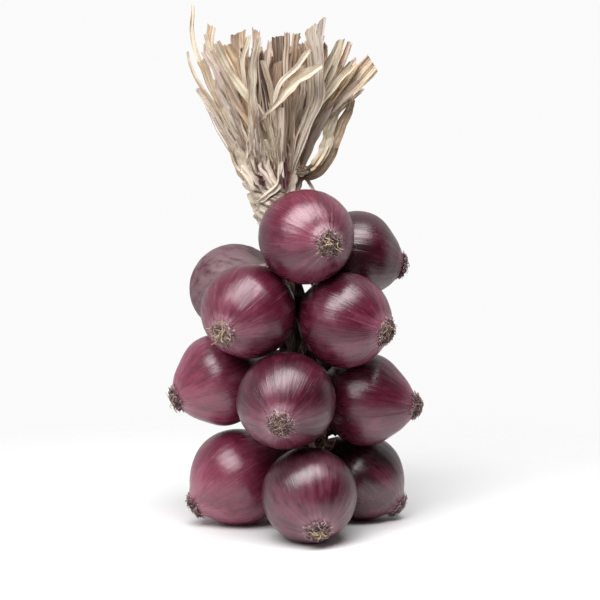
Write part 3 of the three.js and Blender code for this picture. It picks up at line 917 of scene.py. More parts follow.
def stalk_bundle(material):
    """The twisted bundle: strands that wind about the stem line in layers, each a helix whose
    radius follows the bundle's and wavers a little."""
    rng = np.random.default_rng(7)
    count, rows = 38, 100
    heights = np.linspace(STEM_FOOT[2] - 4, STEM_NECK[2] + 2, rows)
    s = steps(count, rows)
    layer = np.where(np.arange(count) % 3 == 0, 0.4, 0.95)[:, None]
    turn = (np.arange(count) * GOLDEN_REST % 1 * TAU)[:, None]
    turn = turn + (heights - heights[0])[None] * rng.uniform(0.018, 0.034, (count, 1))
    turn = turn + 0.5 * waves(rng, s, 0.5, 3, 2)
    # It is thinner where one sees through beside it, and under the tie.
    slim = 1.15 - 0.4 * bell(heights, 168, 12) - 0.3 * smooth_step(202, 212, heights)
    reach = (stem_radius(heights) * slim)[None] * layer * (1 + 0.16 * waves(rng, s, 1, 7, 3))
    radial = spokes(turn)
    lines = stem_at(heights)[None] + radial * reach[..., None]
    made = ribbons(lines, radial, rng.uniform(4, 7, (count, 1)), rng, cup=-0.5, crease=0.5,
                   ragged=0.12, thickness=0.6, crumple=0.3)
    blush = rng.uniform(0, 0.5, (count, 1))
    ribbon_piece("Stalk_strands", made, rng.uniform(0.4, 1.0, count), blush, material,
                 "dried_stalk", ["Stem_bundle"])


# Broad dark leaves in the gaps between bulbs: dried leaf, and dark sheets that paint the shade deep
# in the gaps. Each is (x, y, z) of both ends and the width.
GAP_LEAVES = [
    ((-10, 6, 66), (-28, 10, 60), 8),
    ((-12, 9, 60), (-30, 14, 66), 7),
    ((-10, 2, 66), (-26, 2, 56), 7),
    ((22, 4, 70), (40, 8, 58), 8),
    ((20, 0, 62), (38, 2, 68), 7),
    ((14, -8, 64), (30, -2, 52), 6),
    ((15, 2, 68), (21, 2, 58), 7),
    ((-3, -2, 134), (-4, 0, 113), 9),
    ((-14, 4, 131), (-5, 2, 125), 8),
    ((10, -6, 122), (26, -2, 112), 8),
    ((-4, 2, 172), (-14, 0, 152), 8),
    ((0, 0, 140), (10, -4, 118), 8),
]


def husks(material):
    """Dark dried leaves between the bulbs: broad ones laid in the gaps, partly as painted shade
    there, and narrow ones that leave the stem line sideways and turn up or down, each a cubic
    Bezier path, but none where one sees through."""
    rng = np.random.default_rng(17)
    count, rows = 64, 16
    height = np.linspace(34, 206, count) + rng.normal(0, 3, count)
    bearing = np.arange(count) * GOLDEN_DEGREES + rng.uniform(-20, 20, count)
    out = heading(bearing)
    rise = rng.choice([-1, 1], count, p=[0.35, 0.65])[:, None] * np.array([0, 0, 1.0])
    run = rng.uniform(9, 19, (count, 1))
    a = stem_at(height) + out * 2
    b = a + out * run * 0.55
    c = b + out * run * 0.3 + rise * run * 0.35
    d = c + rise * run * rng.uniform(0.2, 0.8, (count, 1)) + rng.normal(0, 2, (count, 3))
    kept = ~((out[:, 0] > 0.2) & (height > SEEN_THROUGH[0]) & (height < SEEN_THROUGH[1]))
    a, b, c, d, out = (v[kept] for v in (a, b, c, d, out))
    count = len(a)
    # The broad ones are partly dark sheets that paint the shade in the gaps.
    broad = straight([(a, b) for a, b, _ in GAP_LEAVES], rows)
    broad = crinkled(rng, broad, 1.2)
    lines = np.concatenate([cubic(a, b, c, d, np.linspace(0, 1, rows)), broad])
    facing = np.concatenate([
        np.array([0, 0, 1.0]) + out * 0.3, np.tile([0.1, -1.0, 0.3], (len(broad), 1))])
    width = np.concatenate([rng.uniform(4, 8, count), [w for _, _, w in GAP_LEAVES]])
    twist = np.append(rng.uniform(-0.8, 0.8, count), rng.uniform(-0.3, 0.3, len(broad)))
    made = ribbons(lines, facing[:, None], width[:, None] * np.linspace(0.8, 1, rows), rng,
                   cup=0.4, crease=0.6, ragged=0.2, twist=twist[:, None], jag=0.2, crumple=0.6)
    ribbon_piece("Husk_and_shade_leaves", made, rng.uniform(0.5, 1.15, len(lines)),
                 rng.uniform(0, 0.8, (len(lines), 1)), material, "dried_stalk")


# ---- Leaf tuft --------------------------------------------------------------------------

LEAF_ROWS = 46  # how many points a leaf's line has
TIPS_DARKER = 0.5  # painted light and shade: how much darker the leaves are at their tips than at the neck
TUFT_FOOT = 226.0  # height at which the leaves come out of the bundle
FOOT_RADIUS = 12.5
FRONT_DEPTH = 40.0  # a leaf with its tip this far forward comes out at the front of the neck
LEAF_FACING = np.array([0.0, -1.0, 0.1])
BETWEEN = 56  # how many strips run between two of the front leaves

# The gap seen between the leaves and the tie's loop: its lowest and highest point, where its
# left edge is at the foot, and how much further right that is with each millimetre up.
GAP_LOW, GAP_HIGH, GAP_LEFT, GAP_SLOPE = 246, 272, 4.2, 0.46


def leaf(drawn, depth, width, tone, blush=0.0, jag=0.02, twist=0.0, spin=0.0, cup=0.25,
         crease=0.4, rib=0.07, slant=0.0, split=3, torn=False):
    """A leaf of the front of the tuft: its middle line drawn from tip to neck as (x, z) on the
    front elevation, how far its tip is from the plane through the neck (minus is nearer the
    front), its widths at even steps over four fifths of the way from tip to neck, and its
    looks. Twist turns it as a whole and spin turns it from neck to tip. Its end is cut at a
    slant. Split is how many narrow strips lie beside it. A torn one comes out between the
    leaves, not from the neck."""
    return SimpleNamespace(**locals())


FRONT_LEAVES = [
    # the left side
    leaf([(-66, 353), (-66.5, 338), (-65, 323), (-57, 302), (-42, 280), (-28, 254)], 4,
         (2.6, 3.4, 2.0, 3), 0.0, split=0),
    leaf([(-44, 268), (-38, 256), (-33, 245)], -6, (3, 6, 7), 0.05),
    leaf([(-40, 261), (-35, 250), (-29, 240)], -14, (4, 8, 8), 0.0, blush=0.2),
    leaf([(-49, 281), (-43.5, 268), (-37, 254), (-32.5, 243)], -3, (3, 6, 8, 9), 0.1),
    leaf([(-43, 277), (-37, 264), (-31, 250), (-27, 240)], -10, (3, 6, 8, 8), 0.0),
    leaf([(-70, 322), (-69, 314), (-63, 300), (-50, 280), (-35, 254)], -6, (1.6, 3.4, 3.6), 0.2,
         jag=0.01, split=0),
    leaf([(-54, 339), (-55, 328), (-50, 303), (-37, 275), (-24, 247)], 12, (5.4, 4.6), 0.4),
    leaf([(-59, 328), (-58, 312), (-50, 292), (-37, 266), (-24, 243)], -2, (3.6, 4), 0.25),
    leaf([(-59, 334), (-55, 320), (-47, 298), (-35, 271), (-23, 243)], -12, (3, 3.6), 0.1),
    leaf([(-62, 316), (-56, 302), (-46, 281), (-35, 261), (-24, 240)], -15, (5.5, 5.4), 0.22),
    leaf([(-64, 298), (-54, 281), (-44, 262.5), (-36.5, 250)], -9, (3.4, 5.4, 6.5), 0.2),
    leaf([(-51, 329), (-40, 305), (-30, 290), (-21, 276), (-17, 258)], -30, (5.4, 5), 0.1),
    leaf([(-57, 322), (-50, 309), (-41, 290), (-35, 275), (-28, 258)], -20, (8.5, 8, 6), 0.2),
    leaf([(-52, 300), (-42, 281), (-33, 262), (-25, 244)], -24, (3, 4, 3), 0.15),
    # the middle
    leaf([(-45, 327), (-39, 314), (-33, 300), (-28, 280), (-21, 254)], 2, (9.5, 8, 6), 0.55,
         jag=0.01, cup=0.1, crease=0.15, rib=0.02, split=0),
    leaf([(-37, 334), (-35, 319), (-31, 305), (-26, 284), (-19, 254)], 8, (10.5, 7.5, 5), 0.65,
         jag=0.01, cup=0.1, crease=0.3, rib=0.04, split=0),
    leaf([(-25, 337), (-24, 322), (-23, 305), (-17, 280), (-12, 250)], 18, (5, 6.4, 5), 0.6),
    leaf([(-24, 331), (-27, 314), (-27, 292), (-25, 275), (-21, 254)], -36, (5.2, 4.6), 0.1),
    leaf([(-30, 332), (-33, 315), (-32, 300), (-29, 284), (-24, 263)], -28, (3, 3.2), 0.05),
    leaf([(-15, 329), (-17, 315), (-16, 303), (-12, 284), (-10, 258)], -2, (3.6, 4), 0.35),
    leaf([(-9.5, 332), (-9.5, 315), (-10.5, 302), (-11, 284), (-9, 263)], -8, (10.5, 10, 6), 1.1,
         jag=0.01, cup=0.1, crease=0.1, split=0),
    leaf([(-11, 315), (-11, 305), (-11, 290), (-9, 266)], -11, (6, 6.5, 5), 0.75, jag=0.01),
    leaf([(-24, 321), (-20, 299), (-15, 280), (-11, 261), (-8, 243)], -16, (8, 7), 1.3,
         split=1),
    leaf([(-21, 316), (-16, 301), (-13, 288), (-11, 271), (-8, 250)], -20, (4, 4), 0.3),
    leaf([(-3.5, 335), (-4.5, 314), (-6, 292), (-6, 271), (-7, 250)], -40, (3.8, 4.2), 0.42,
         twist=0.3, split=0),
    leaf([(-10, 285), (-9, 273), (-9, 258), (-8, 242)], -33, (5.6, 5), 0.2),
    leaf([(2, 335), (0, 322), (-1, 301), (-3, 280), (-4, 254)], -30, (4.4, 4.2), 0.6),
    leaf([(11, 305), (10, 292), (6, 275), (1, 258)], 8, (9, 6), 0.95),
    leaf([(8, 316), (9, 302), (6, 284), (1, 263)], 2, (6, 5), 0.5),
    leaf([(6, 313), (6, 297), (3, 280), (0, 263)], -22, (4.2, 4), 0.15),
    leaf([(1, 297), (0, 284), (-1, 267), (-3, 246)], -28, (3.6, 3.6), 0.4),
    # the right side
    # Its pale tone paints light on a strip that leans forward and faces away from the lamp.
    leaf([(14, 339.5), (14, 332), (15.5, 322), (17, 305), (16.7, 290), (11, 275), (4, 258)], -40,
         (14, 8, 6.5, 4.6, 4.4, 4.2, 4), -0.45, jag=0.02, cup=0.1, crease=0.2, rib=0.04,
         slant=-0.85, split=2),
    leaf([(11, 329), (13, 318), (14, 306), (11, 285), (4, 262)], -35, (7, 6, 5), -0.1, split=0),
    leaf([(31.5, 330), (29, 322), (24, 311), (17, 294), (9, 272)], -24, (5, 9.5, 8, 6, 5), 0.25,
         crease=0.3, jag=0.01, split=1),
    leaf([(29, 321), (26, 309), (23, 297), (15, 281), (6, 263)], -10, (6, 5), 0.4),
    leaf([(20, 324), (20, 314), (18, 297), (10, 275)], 0, (4, 4), 0.7),
    leaf([(38, 328), (33, 318), (27, 304), (17, 284), (7, 264)], -6, (3.6, 6.5, 5), 0.3),
    leaf([(53, 315), (43, 304), (30, 291), (18, 279), (10, 267), (3, 254)], -16,
         (13, 11, 7.5, 5.5), 0.42, cup=0.1, crease=0.12, jag=0.005, rib=0.025, split=0),
    leaf([(42, 316), (34, 304), (25, 292), (16, 280), (9, 267)], -18, (6, 8, 7, 5), 0.4,
         crease=0.5),
    leaf([(39, 314), (29, 302), (21, 291), (13, 280), (6, 264)], -24, (5.2, 4.6), 0.2),
    leaf([(34, 313), (28, 303), (21, 295), (13, 283), (6, 264)], -10, (5, 4.6), 0.45),
    leaf([(41, 318), (40, 314), (31, 302), (21, 290), (12, 272)], -4, (1.6, 3), 0.3),
    leaf([(50, 304), (42, 298), (31, 291), (20, 281), (11, 266)], 6, (4.4, 4), 0.38, jag=0.05),
    leaf([(47, 297), (40, 292), (29, 283), (16, 271), (7.5, 258)], 2, (3, 7, 6), 0.35, jag=0.05),
    leaf([(26, 290), (22, 280), (14, 264), (6, 246)], -16, (4, 5.5, 4), 0.15),
    # across the front
    leaf([(20, 312), (12, 306.5), (3, 301), (-4, 295), (-10, 288), (-17, 281.5), (-23, 275)],
         -44, (4, 6.5, 8.5, 9.5, 6.5, 4, 3), -0.5, spin=0.35, jag=0.01, cup=0.2, crease=0.6,
         split=0, torn=True),
    leaf([(12, 322), (-2, 307), (-9, 300), (-12, 293), (-12, 286), (-8, 271)], -44, (3.6, 3.2),
         0.0, spin=0.4, split=0),
    leaf([(-24, 284), (-25, 267), (-23, 252)], -31, (1.5, 5, 5), 0.1, crease=0.7, blush=0.4),
    leaf([(-29, 284), (-29, 267), (-28, 254)], -27, (1.5, 4.4, 4.4), 0.05, blush=0.4),
    leaf([(-18, 279), (-14, 263), (-11, 247)], -27, (1.5, 4.4, 4), 0.15),
    leaf([(-20, 263), (-16, 251), (-11, 238)], -22, (4, 4), 0.1, blush=0.4),
]


def front_line(shape):
    """The middle line of a front leaf, from the neck to its tip. Its depth grows evenly with
    its height over the neck. A torn leaf's starts at less than half of its tip's."""
    if shape.torn:
        x, z = through(shape.drawn, LEAF_ROWS)[::-1].T
        s = np.linspace(0, 1, LEAF_ROWS)
        return pushed_back(x, shape.depth * (0.45 + 0.25 * smooth_step(0, 0.2, s) + 0.3 * s), z)
    near = np.clip(shape.depth / FRONT_DEPTH, -1, 1)
    aside = shape.drawn[-1][0] - STEM_NECK[0]
    foot_x = STEM_NECK[0] + np.clip(aside * 0.55, -FOOT_RADIUS, FOOT_RADIUS)
    x, z = through([*shape.drawn, (foot_x, TUFT_FOOT)], LEAF_ROWS)[::-1].T
    part = (z - TUFT_FOOT) / (shape.drawn[0][1] - TUFT_FOOT)
    depth = STEM_NECK[1] + near * FOOT_RADIUS + (shape.depth - near * FOOT_RADIUS) * part
    return pushed_back(x, depth, z)


def front_leaves(material):
    """The drawn leaves. Each has its widths, narrowed by half at the neck, and wavers a little
    in its path and its twist."""
    rng = np.random.default_rng(3)
    lines = np.stack([front_line(shape) for shape in FRONT_LEAVES])
    lines = crinkled(rng, lines, lengths(lines) * 0.006)
    s = np.linspace(0, 1, LEAF_ROWS)

    def looks(key):
        """One number of every leaf."""
        return np.array([getattr(shape, key) for shape in FRONT_LEAVES], float)

    width = np.stack([
        np.interp(1 - s, np.linspace(0, 0.8, len(shape.width)), shape.width)
        for shape in FRONT_LEAVES])
    width = width * (0.5 + 0.5 * smooth_step(0.0, 0.4, s))
    twist = looks("twist")[:, None] + looks("spin")[:, None] * smooth_step(0.15, 0.8, s)
    twist = twist + 0.16 * waves(rng, steps(*lines.shape[:2]), 0.4, 1.5, 2)
    made = ribbons(lines, LEAF_FACING, width, rng, cup=looks("cup"), crease=looks("crease"),
                   twist=twist, jag=looks("jag"), ragged=0.1, across=11, crumple=0.35,
                   rib=looks("rib"), slant=looks("slant"))
    blush = looks("blush")[:, None] * smooth_step(0.75, 0.2, s)
    # Painted light and shade: the leaves are lighter at the neck and darker at their tips.
    tone = looks("tone")[:, None] + TIPS_DARKER * (s - 0.6)
    ribbon_piece("Tuft_front_leaves", made, tone, blush, material, "dried_leaf", ["Leaf_tuft"])


def beside_loop(lines):
    """Which lines cross the gap beside the loop."""
    x, _, z = np.moveaxis(lines, -1, 0)
    within = (z > GAP_LOW) & (z < GAP_HIGH) & (x > GAP_LEFT + (z - GAP_LOW) * GAP_SLOPE)
    return within.any(axis=1)


def cut_short(lines, stop):
    """The lines, each stopped at its own part of the way, with all its rows up to there."""
    count, rows, _ = lines.shape
    place = stop[:, None] * np.linspace(0, 1, rows) * (rows - 1)
    below = np.minimum(place.astype(int), rows - 2)
    part = (place - below)[..., None]
    line = np.arange(count)[:, None]
    return lines[line, below] * (1 - part) + lines[line, below + 1] * part


def strands(material):
    """Narrow split strips that follow the front leaves or run between two of them, shifted
    across and forward, and ending at different heights."""
    rng = np.random.default_rng(29)
    leaves = [shape for shape in FRONT_LEAVES for _ in range(shape.split)]
    lines = np.stack([front_line(shape) for shape in leaves])
    tone = np.array([shape.tone for shape in leaves])
    # Each blends a leaf with another one that is a few places further down the list.
    between = rng.integers(0, len(leaves) - 9, BETWEEN)
    share = rng.uniform(0.3, 0.7, BETWEEN)
    after = between + rng.integers(3, 9, BETWEEN)
    blends = lines[between] * (1 - share)[:, None, None] + lines[after] * share[:, None, None]
    lines = np.concatenate([lines, blends])
    tone = np.concatenate([tone, tone[between] * (1 - share) + tone[after] * share])
    kept = ~beside_loop(lines)
    lines, tone = lines[kept], tone[kept]
    count = len(lines)
    lines = cut_short(lines, rng.uniform(0.45, 1.0, count))
    s = np.linspace(0, 1, LEAF_ROWS)
    shift = np.stack([
        rng.normal(0, 2.4, count), -rng.uniform(0.2, 1.6, count), np.zeros(count)], -1)
    lines = lines + shift[:, None] * smooth_step(0, 0.5, s)[:, None]
    lines = crinkled(rng, lines, rng.uniform(0.5, 1.3, (count, 1, 1)))
    width = rng.uniform(0.6, 2.4, (count, 1)) * (1 - 0.75 * s**3)
    width[-kept[-BETWEEN:].sum():] *= 1.7  # those between two leaves are wider
    made = ribbons(lines, LEAF_FACING, width, rng, cup=0.6, crease=0.5, ragged=0.2, across=4,
                   twist=rng.uniform(-0.6, 0.6, (count, 1)), crumple=0.2, thickness=0.25)
    tone = tone + rng.uniform(-0.4, 0.1, count) + rng.choice([0.0, 0.8], count, p=[0.7, 0.3])
    # Painted light and shade: the strips are lighter at the neck and darker at their tips.
    tone = tone[:, None] + TIPS_DARKER * (s - 0.6)
    blush = rng.uniform(0, 1, (count, 1)) ** 3 * smooth_step(0.4, 0.1, s)
    ribbon_piece("Tuft_strands", made, tone, blush, material, "dried_leaf")


def inner_leaves(material):
    """The leaves behind: tips spread over a flat cone by the golden angle, each path a cubic
    Bezier that is held upright in the neck and bows outwards."""
    rng = np.random.default_rng(21)
    count = 130
    turn = np.arange(count) * GOLDEN_ANGLE + rng.uniform(-0.3, 0.3, count)
    part = np.sqrt((np.arange(count) + 0.5) / count)
    flat = spokes(turn) * [1, 0.85, 1]
    top = 326 - 18 * part**2 + rng.normal(0, 7, count)
    lean = 0.56 * part * rng.uniform(0.85, 1.05, count)
    foot = stem_at(TUFT_FOOT) + flat * (part**0.8)[:, None] * FOOT_RADIUS
    tip = stem_at(TUFT_FOOT) + flat * (lean * (top - TUFT_FOOT))[:, None]
    tip = tip + np.array([6, 0, 0])
    tip[:, 2] = top
    # Those in front or far out at the sides would stand where the drawn leaves are.
    hidden = (tip[:, 1] < -8) | (np.abs(tip[:, 0] + 8) > 50)
    foot, tip, flat, part = (v[~hidden] for v in (foot, tip, flat, part))
    count = len(tip)
    low = foot + np.array([-1.5, 0, 22]) + flat * 3
    high = low * 0.45 + tip * 0.55 + flat * rng.uniform(-2, 5, (count, 1))
    s = np.linspace(0, 1, LEAF_ROWS)
    lines = crinkled(rng, cubic(foot, low, high, tip, s), rng.uniform(0.4, 2.0, (count, 1, 1)))
    kept = ~beside_loop(lines)
    lines, flat, part = lines[kept], flat[kept], part[kept]
    count = len(lines)
    facing = unit(flat + rng.normal(0, 0.35, flat.shape))[:, None]
    width = rng.uniform(4.5, 10, (count, 1)) * (0.55 + 0.45 * smooth_step(0.1, 0.7, s))
    twist = rng.uniform(-0.9, 0.9, (count, 1)) * s + rng.normal(0, 0.15, (count, 1))
    jag = rng.choice([0.01, 0.02, 0.05], count, p=[0.45, 0.35, 0.2])
    made = ribbons(lines, facing, width, rng, cup=0.3, crease=0.4, twist=twist, jag=jag,
                   ragged=0.1, crumple=0.4, rib=0.08)
    # Those near the middle of the cone are darker: painted shade inside the tuft.
    tone = np.where(part < 0.6, rng.uniform(0.8, 1.4, count), rng.uniform(0.1, 0.8, count))
    blush = rng.uniform(0, 1, (count, 1)) ** 2 * smooth_step(0.34, 0.12, s)
    ribbon_piece("Tuft_inner_leaves", made, tone, blush, material, "dried_leaf")


# ---- Tie --------------------------------------------------------------------------------

# The heights at which the neck under the tie has these radii.
NECK_HEIGHTS = [206, 212, 218, 229, 238]
NECK_RADII = [11.4, 13, 13.4, 15.4, 17.6]


def band(material):
    """Crumpled leaf wound about the neck: each strip goes about once around it, a circle whose
    radius wavers, in a plane that falls from left to right, less so low down. The neck widens
    upwards."""
    rng = np.random.default_rng(41)
    count, rows = 15, 72
    height = np.linspace(205, 233, count) + rng.normal(0, 0.8, count)
    turns = rng.uniform(0.7, 1.3, (count, 1)) * np.linspace(0, 1, rows) * TAU
    angle = rng.uniform(0, TAU, (count, 1)) + turns
    s = steps(count, rows)
    wide = np.interp(height, NECK_HEIGHTS, NECK_RADII)[:, None]
    radius = wide + rng.uniform(-0.4, 1.0, (count, 1)) + 0.5 * waves(rng, s, 2, 9, 4)
    tilt = rng.uniform(0.2, 0.5, count)[:, None] * smooth_step(206, 222, height)[:, None]
    rise = -radius * tilt * np.cos(angle + rng.uniform(-0.3, 0.3, (count, 1)))
    rise = rise + 0.7 * waves(rng, s, 0.5, 3, 3)
    radial = spokes(angle)
    lines = stem_at(height)[:, None] + radial * radius[..., None]
    lines[..., 2] += rise
    width = rng.uniform(7, 12, (count, 1)) * (1 + 0.2 * waves(rng, s, 1, 4, 2))
    made = ribbons(lines, radial, width, rng, cup=-0.12, crease=0.2, ragged=0.12, jag=0.04,
                   thickness=0.45, across=9, twist=0.12 * waves(rng, s, 1, 3, 2), crumple=0.35,
                   rib=0.05)
    ribbon_piece("Tie_wraps", made, rng.uniform(-0.35, 0.0, count), 0.06, material, "tie_leaf",
                 ["Tie_band"])


# Pale leaves folded over the front of the collar: the points of each line, its width and tone.
COLLAR_FOLDS = [
    ([(-36, -9, 247), (-31, -14, 241), (-24, -18, 234), (-15, -19, 228), (-6, -18, 223)], 8, -0.1),
    ([(-32, -10, 236), (-26, -15, 230), (-18, -18, 224), (-8, -17.5, 219)], 8, -0.2),
    ([(-29, -9, 228), (-24, -13, 222), (-17, -16, 217), (-9, -15, 214)], 7, -0.15),
    ([(-29, -12, 268), (-27, -17, 254), (-22, -20, 243), (-16, -20, 234), (-10, -19, 227)],
     6, -0.1),
    ([(-21, -12, 268), (-18, -18, 250), (-14, -20, 238), (-9, -19.5, 231)], 4.5, -0.05),
    ([(-7.6, -14, 272), (-8.4, -20.5, 250), (-8.4, -21, 237), (-11, -21, 231), (-17, -20, 226.5),
      (-26, -15, 221)], 4.4, -0.2),
    ([(2, -15, 252), (0.5, -17.5, 240), (-1.5, -18, 230), (-5, -17.5, 221)], 5.5, 0.1),
    ([(6, -12, 246), (4.5, -14, 237), (1.5, -15, 228), (-2, -15, 218)], 5, 0.2),
    ([(-27, -6, 222), (-24, -10, 217), (-19, -14, 213), (-12, -16, 211)], 7, -0.1),
    ([(-13, -17, 224), (-18, -15, 218), (-23, -10, 213), (-25, -4, 209)], 6, -0.2),
]

# Folded edges of burgundy skin at the front of the neck: (x, y, z) of both ends and the width.
SKIN_EDGES = [
    ((-26, -21.5, 252), (-23.5, -21.8, 241), 1.9),
    ((-27, -21, 241.5), (-20.5, -21.8, 237), 1.4),
    ((-22.5, -21.8, 240.5), (-19.5, -21.8, 232.5), 4.4),
    ((-27, -19.5, 235.5), (-22.5, -20.5, 230.5), 1.6),
    ((-5.0, -21, 249), (-5.6, -22.2, 230.5), 7.6),
    ((-8.5, -22, 229.5), (-16.5, -21.5, 224), 1.5),
]


def collar_folds(material):
    """The folds as wavering ribbons, broadest halfway, and painted darker where they start, as
    shade.
    """
    rng = np.random.default_rng(53)
    count, rows = len(COLLAR_FOLDS), 40
    lines = np.stack([through(points, rows) for points, _, _ in COLLAR_FOLDS])
    s = steps(count, rows)
    lines = lines + 0.4 * sway(rng, s, 1, 4, 3)
    width = np.array([[w] for _, w, _ in COLLAR_FOLDS]) * (0.8 + 0.2 * np.sin(s * math.pi))
    made = ribbons(lines, np.array([-0.15, -1.0, 0.1]), width, rng, cup=-0.1, crease=0.35,
                   ragged=0.14, jag=0.08, across=9, crumple=0.4, rib=0.06,
                   twist=0.15 * waves(rng, s, 0.5, 2, 2))
    blush = 0.35 * rng.uniform(0, 1, (count, 1)) * np.sin(s * math.pi)
    # Painted shade: each fold is darker where it starts.
    tone = np.array([[tone] for _, _, tone in COLLAR_FOLDS]) + 0.4 * smooth_step(0.4, 0.0, s)
    ribbon_piece("Collar_folds", made, tone, blush, material, "tie_leaf")


def skin_edges(material):
    """The skin edges as short ribbons that waver, broadest just past halfway: by a sine of the
    way along to the power 1.5."""
    rng = np.random.default_rng(47)
    s = steps(len(SKIN_EDGES), 14)
    lines = straight([(a, b) for a, b, _ in SKIN_EDGES], s.shape[1])
    lines = lines + 0.25 * waves(rng, s, 1, 3, 2)[..., None]
    width = np.array([[w] for _, _, w in SKIN_EDGES]) * (0.2 + 0.8 * np.sin(s**1.5 * math.pi))
    made = ribbons(lines, np.array([0.0, -1.0, 0.0]), width, rng, ragged=0.12, crumple=0.25)
    ribbon_piece("Neck_skin_edges", made, 1.0, 0.55, material, "tie_leaf")


# The middle of the knot, and points of the loop's outer and inner strips and of the tail.
KNOT_CENTRE = np.array([6.4, -18.0, 242.0])
LOOP_ROWS = 60
LOOP_OUTER = [(5, -14, 240), (12, -12, 239.5), (18.5, -10, 243.5), (24, -8.5, 253.5),
              (29.5, -7.5, 267), (35.5, -7, 280), (39, -7, 287), (39.5, -7, 291)]
LOOP_INNER = [(7, -17, 241.5), (14, -16.5, 246), (19.5, -15, 254), (23.5, -13, 267),
              (26.5, -11.5, 278), (32.5, -9.5, 287), (39, -8, 291)]
TAIL = [(8, -10, 238), (11.5, -10.5, 233), (14, -11, 228)]


def knot_turns(rng, material):
    """Strips wound about a point in several planes, each a circle that swells twice around."""
    count, rows = 9, 40
    normal = unit(rng.normal(0, 1, (count, 3)) * [1, 0.6, 1])
    first = unit(np.cross(normal, [0.2, 0.9, 0.3]))
    second = np.cross(normal, first)
    angle = rng.uniform(0, TAU, (count, 1)) + np.linspace(0, 1.15 * TAU, rows)
    radius = rng.uniform(2.6, 4.4, (count, 1)) * (1 + 0.12 * np.sin(2 * angle))
    radial = (np.cos(angle)[..., None] * first[:, None]
              + np.sin(angle)[..., None] * second[:, None])
    rings = KNOT_CENTRE + radial * radius[..., None] * [1.2, 0.8, 1.0]
    made = ribbons(rings, radial, rng.uniform(2.6, 4.6, (count, 1)), rng, cup=-0.4,
                   crease=0.4, ragged=0.2, thickness=0.5, crumple=0.5)
    ribbon_piece("Tie_knot_turns", made, rng.uniform(1.0, 1.35, count), 0.0, material,
                 "tie_leaf", ["Tie_knot"])


def tie_loop(rng, material):
    """A loop of leaf that stands up from the knot: two strips that meet where it is folded at
    its top, broadest halfway by a sine."""
    s = steps(2, LOOP_ROWS)
    lines = np.stack([through(LOOP_OUTER, LOOP_ROWS), through(LOOP_INNER, LOOP_ROWS)])
    lines = lines + 0.5 * waves(rng, s, 2, 6, 3)[..., None]
    width = 4.5 + np.array([[4.2], [3.2]]) * np.sin(np.minimum(s * 1.1, 1) * math.pi) ** 0.7
    made = ribbons(lines, np.array([0.2, -1.0, 0.1]), width, rng, cup=0.15, crease=0.3,
                   ragged=0.12, thickness=0.45, crumple=0.6, across=9, rib=0.025,
                   twist=0.25 * waves(rng, s, 1, 3, 2))
    # Both strips are painted darker near the knot, as shade on their lower parts, which face up to
    # the lamp.
    tone = np.array([[0.58], [0.36]]) + 0.35 * smooth_step(0.4, 0.05, s)
    ribbon_piece("Tie_loop", made, tone, 0.0, material, "tie_leaf")


def tie_tail(rng, material):
    """The short end of the tie that hangs from the knot."""
    made = ribbons(through(TAIL, 16)[None], np.array([0.0, -1.0, 0.0]), 2.4, rng, jag=0.1,
                   ragged=0.2)
    # Its tone is its own pale beige, set paler still to paint light where the loop shades it.
    ribbon_piece("Tie_tail", made, -0.1, 0.0, material, "tie_leaf")


# ---- Table, light and camera ------------------------------------------------------------


def aim(obj, target):
    """Turns the object's beam or line of sight towards the target."""
    way = Vector(np.asarray(target) - np.array(obj.location))
    obj.rotation_euler = way.to_track_quat("-Z", "Y").to_euler()


TABLE_SIDES = 96


def table(reach=1.3, clear=(0.15, 0.5)):
    """A round white table top that fades out between the two clear distances, in metres."""
    rim = spokes(np.arange(TABLE_SIDES) / TABLE_SIDES * TAU) * reach
    mesh = bpy.data.meshes.new("Table")
    mesh.from_pydata(rim.tolist(), [], [tuple(range(TABLE_SIDES))])
    material, s = blank_material("pale_table")
    place = s.node("ShaderNodeTexCoord", output="Object")
    away = s.node("ShaderNodeVectorMath", {"operation": "LENGTH"}, {0: place}, output="Value")
    s.surface(Base_Color=rgb(244, 244, 244), Roughness=0.7, Specular_IOR_Level=0.2,
              Alpha=s.rise(away, *clear, 1.0, 0.0))
    mesh.materials.append(material)
    add_object("Table", mesh)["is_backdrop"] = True


BACKDROP, LEFT_WALL, REST_OF_ROOM, GROUND = 0.58, 0.38, 0.015, 0.96  # how bright they are


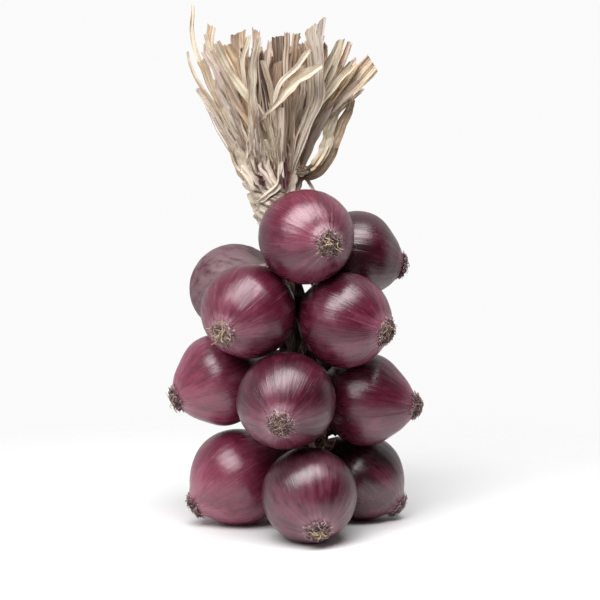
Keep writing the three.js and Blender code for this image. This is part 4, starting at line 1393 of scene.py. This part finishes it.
def studio_sky():
    """The room as light: a bright backdrop behind, a pale wall at the left, and dark in front
    and to the right. The camera itself sees an even pale ground."""
    world = bpy.data.worlds.new("studio")
    bpy.context.scene.world = world
    s = Shader(world)
    way = s.node("ShaderNodeTexCoord", output="Generated")
    axes = s.node("ShaderNodeSeparateXYZ", None, {0: way}).socket.node
    x, y, z = (Wire(s, socket) for socket in axes.outputs)
    behind = s.rise(y, -0.05, 0.5, 0.0, BACKDROP)
    left = s.rise(x * -1.0 - y * 0.3, 0.3, 0.75) * s.rise(z, 0.75, 0.2)
    glow = behind + left * s.rise(y, 0.5, 0.1) * LEFT_WALL + REST_OF_ROOM
    seen = s.node("ShaderNodeLightPath", output="Is Camera Ray")
    strength = s.node("ShaderNodeMix", {"data_type": "FLOAT"}, {0: seen, 2: glow, 3: GROUND})
    white = (1.0, 1.0, 1.0, 1.0)
    ground = s.node("ShaderNodeBackground", None, {"Color": white, "Strength": strength})
    s.node("ShaderNodeOutputWorld", None, {"Surface": ground})


def soft_box(name, toward, distance, size, radiance, roll=0.0):
    """A rectangular light at a distance in metres from the middle of the string, turned about
    its own beam by the roll in degrees. Its power is pi times its area times its radiance."""
    target = CAMERA_TARGET * MM
    light = bpy.data.lights.new(name, "AREA")
    light.shape = "RECTANGLE"
    light.size, light.size_y = size
    light.energy = math.pi * size[0] * size[1] * radiance
    obj = add_object(name, light)
    obj.location = target + unit(np.array(toward)) * distance
    aim(obj, target)
    obj.rotation_euler.rotate_axis("Z", math.radians(roll))


def camera():
    """The camera, at its distance in front of the target and a little above it."""
    data = bpy.data.cameras.new("Camera")
    data.lens = CAMERA_LENS
    data.sensor_width = 36
    obj = add_object("Camera", data)
    obj.location = CAMERA_PLACE * MM
    aim(obj, CAMERA_TARGET * MM)
    bpy.context.scene.camera = obj


# ---- Assembly ---------------------------------------------------------------------------

skin = onion_skin()
leaf_skin = dried_leaf("dried_leaf", -0.32)
burgundy_skin = dried_leaf("burgundy_leaf", 0.1, dusk=(74, 46, 50))
knot_skin = dried_leaf("knotted_leaf", 0.0, dusk=(92, 88, 78))
stalk_skin = dried_leaf("dried_stalk", 0.25)
hair = root_hair()
flake = skin_flake()
for number, (name, onion) in enumerate(ONIONS.items()):
    complete(onion, number)
    bulb(name, onion, skin)
roots(hair)
skin_shreds(flake)
stalk_bundle(stalk_skin)
husks(stalk_skin)
inner_leaves(leaf_skin)
front_leaves(leaf_skin)
strands(leaf_skin)
band(leaf_skin)
collar_folds(leaf_skin)
skin_edges(burgundy_skin)
tie_draws = np.random.default_rng(43)
knot_turns(tie_draws, knot_skin)
tie_loop(tie_draws, leaf_skin)
tie_tail(tie_draws, leaf_skin)

table()
studio_sky()
soft_box("Key", toward=(-0.12, -0.5, 0.86), distance=1.35, size=(1.9, 0.85), radiance=7.6, roll=42)
camera()
bpy.context.scene.view_settings.view_transform = "Standard"

boxes = (CAD_BOX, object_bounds())
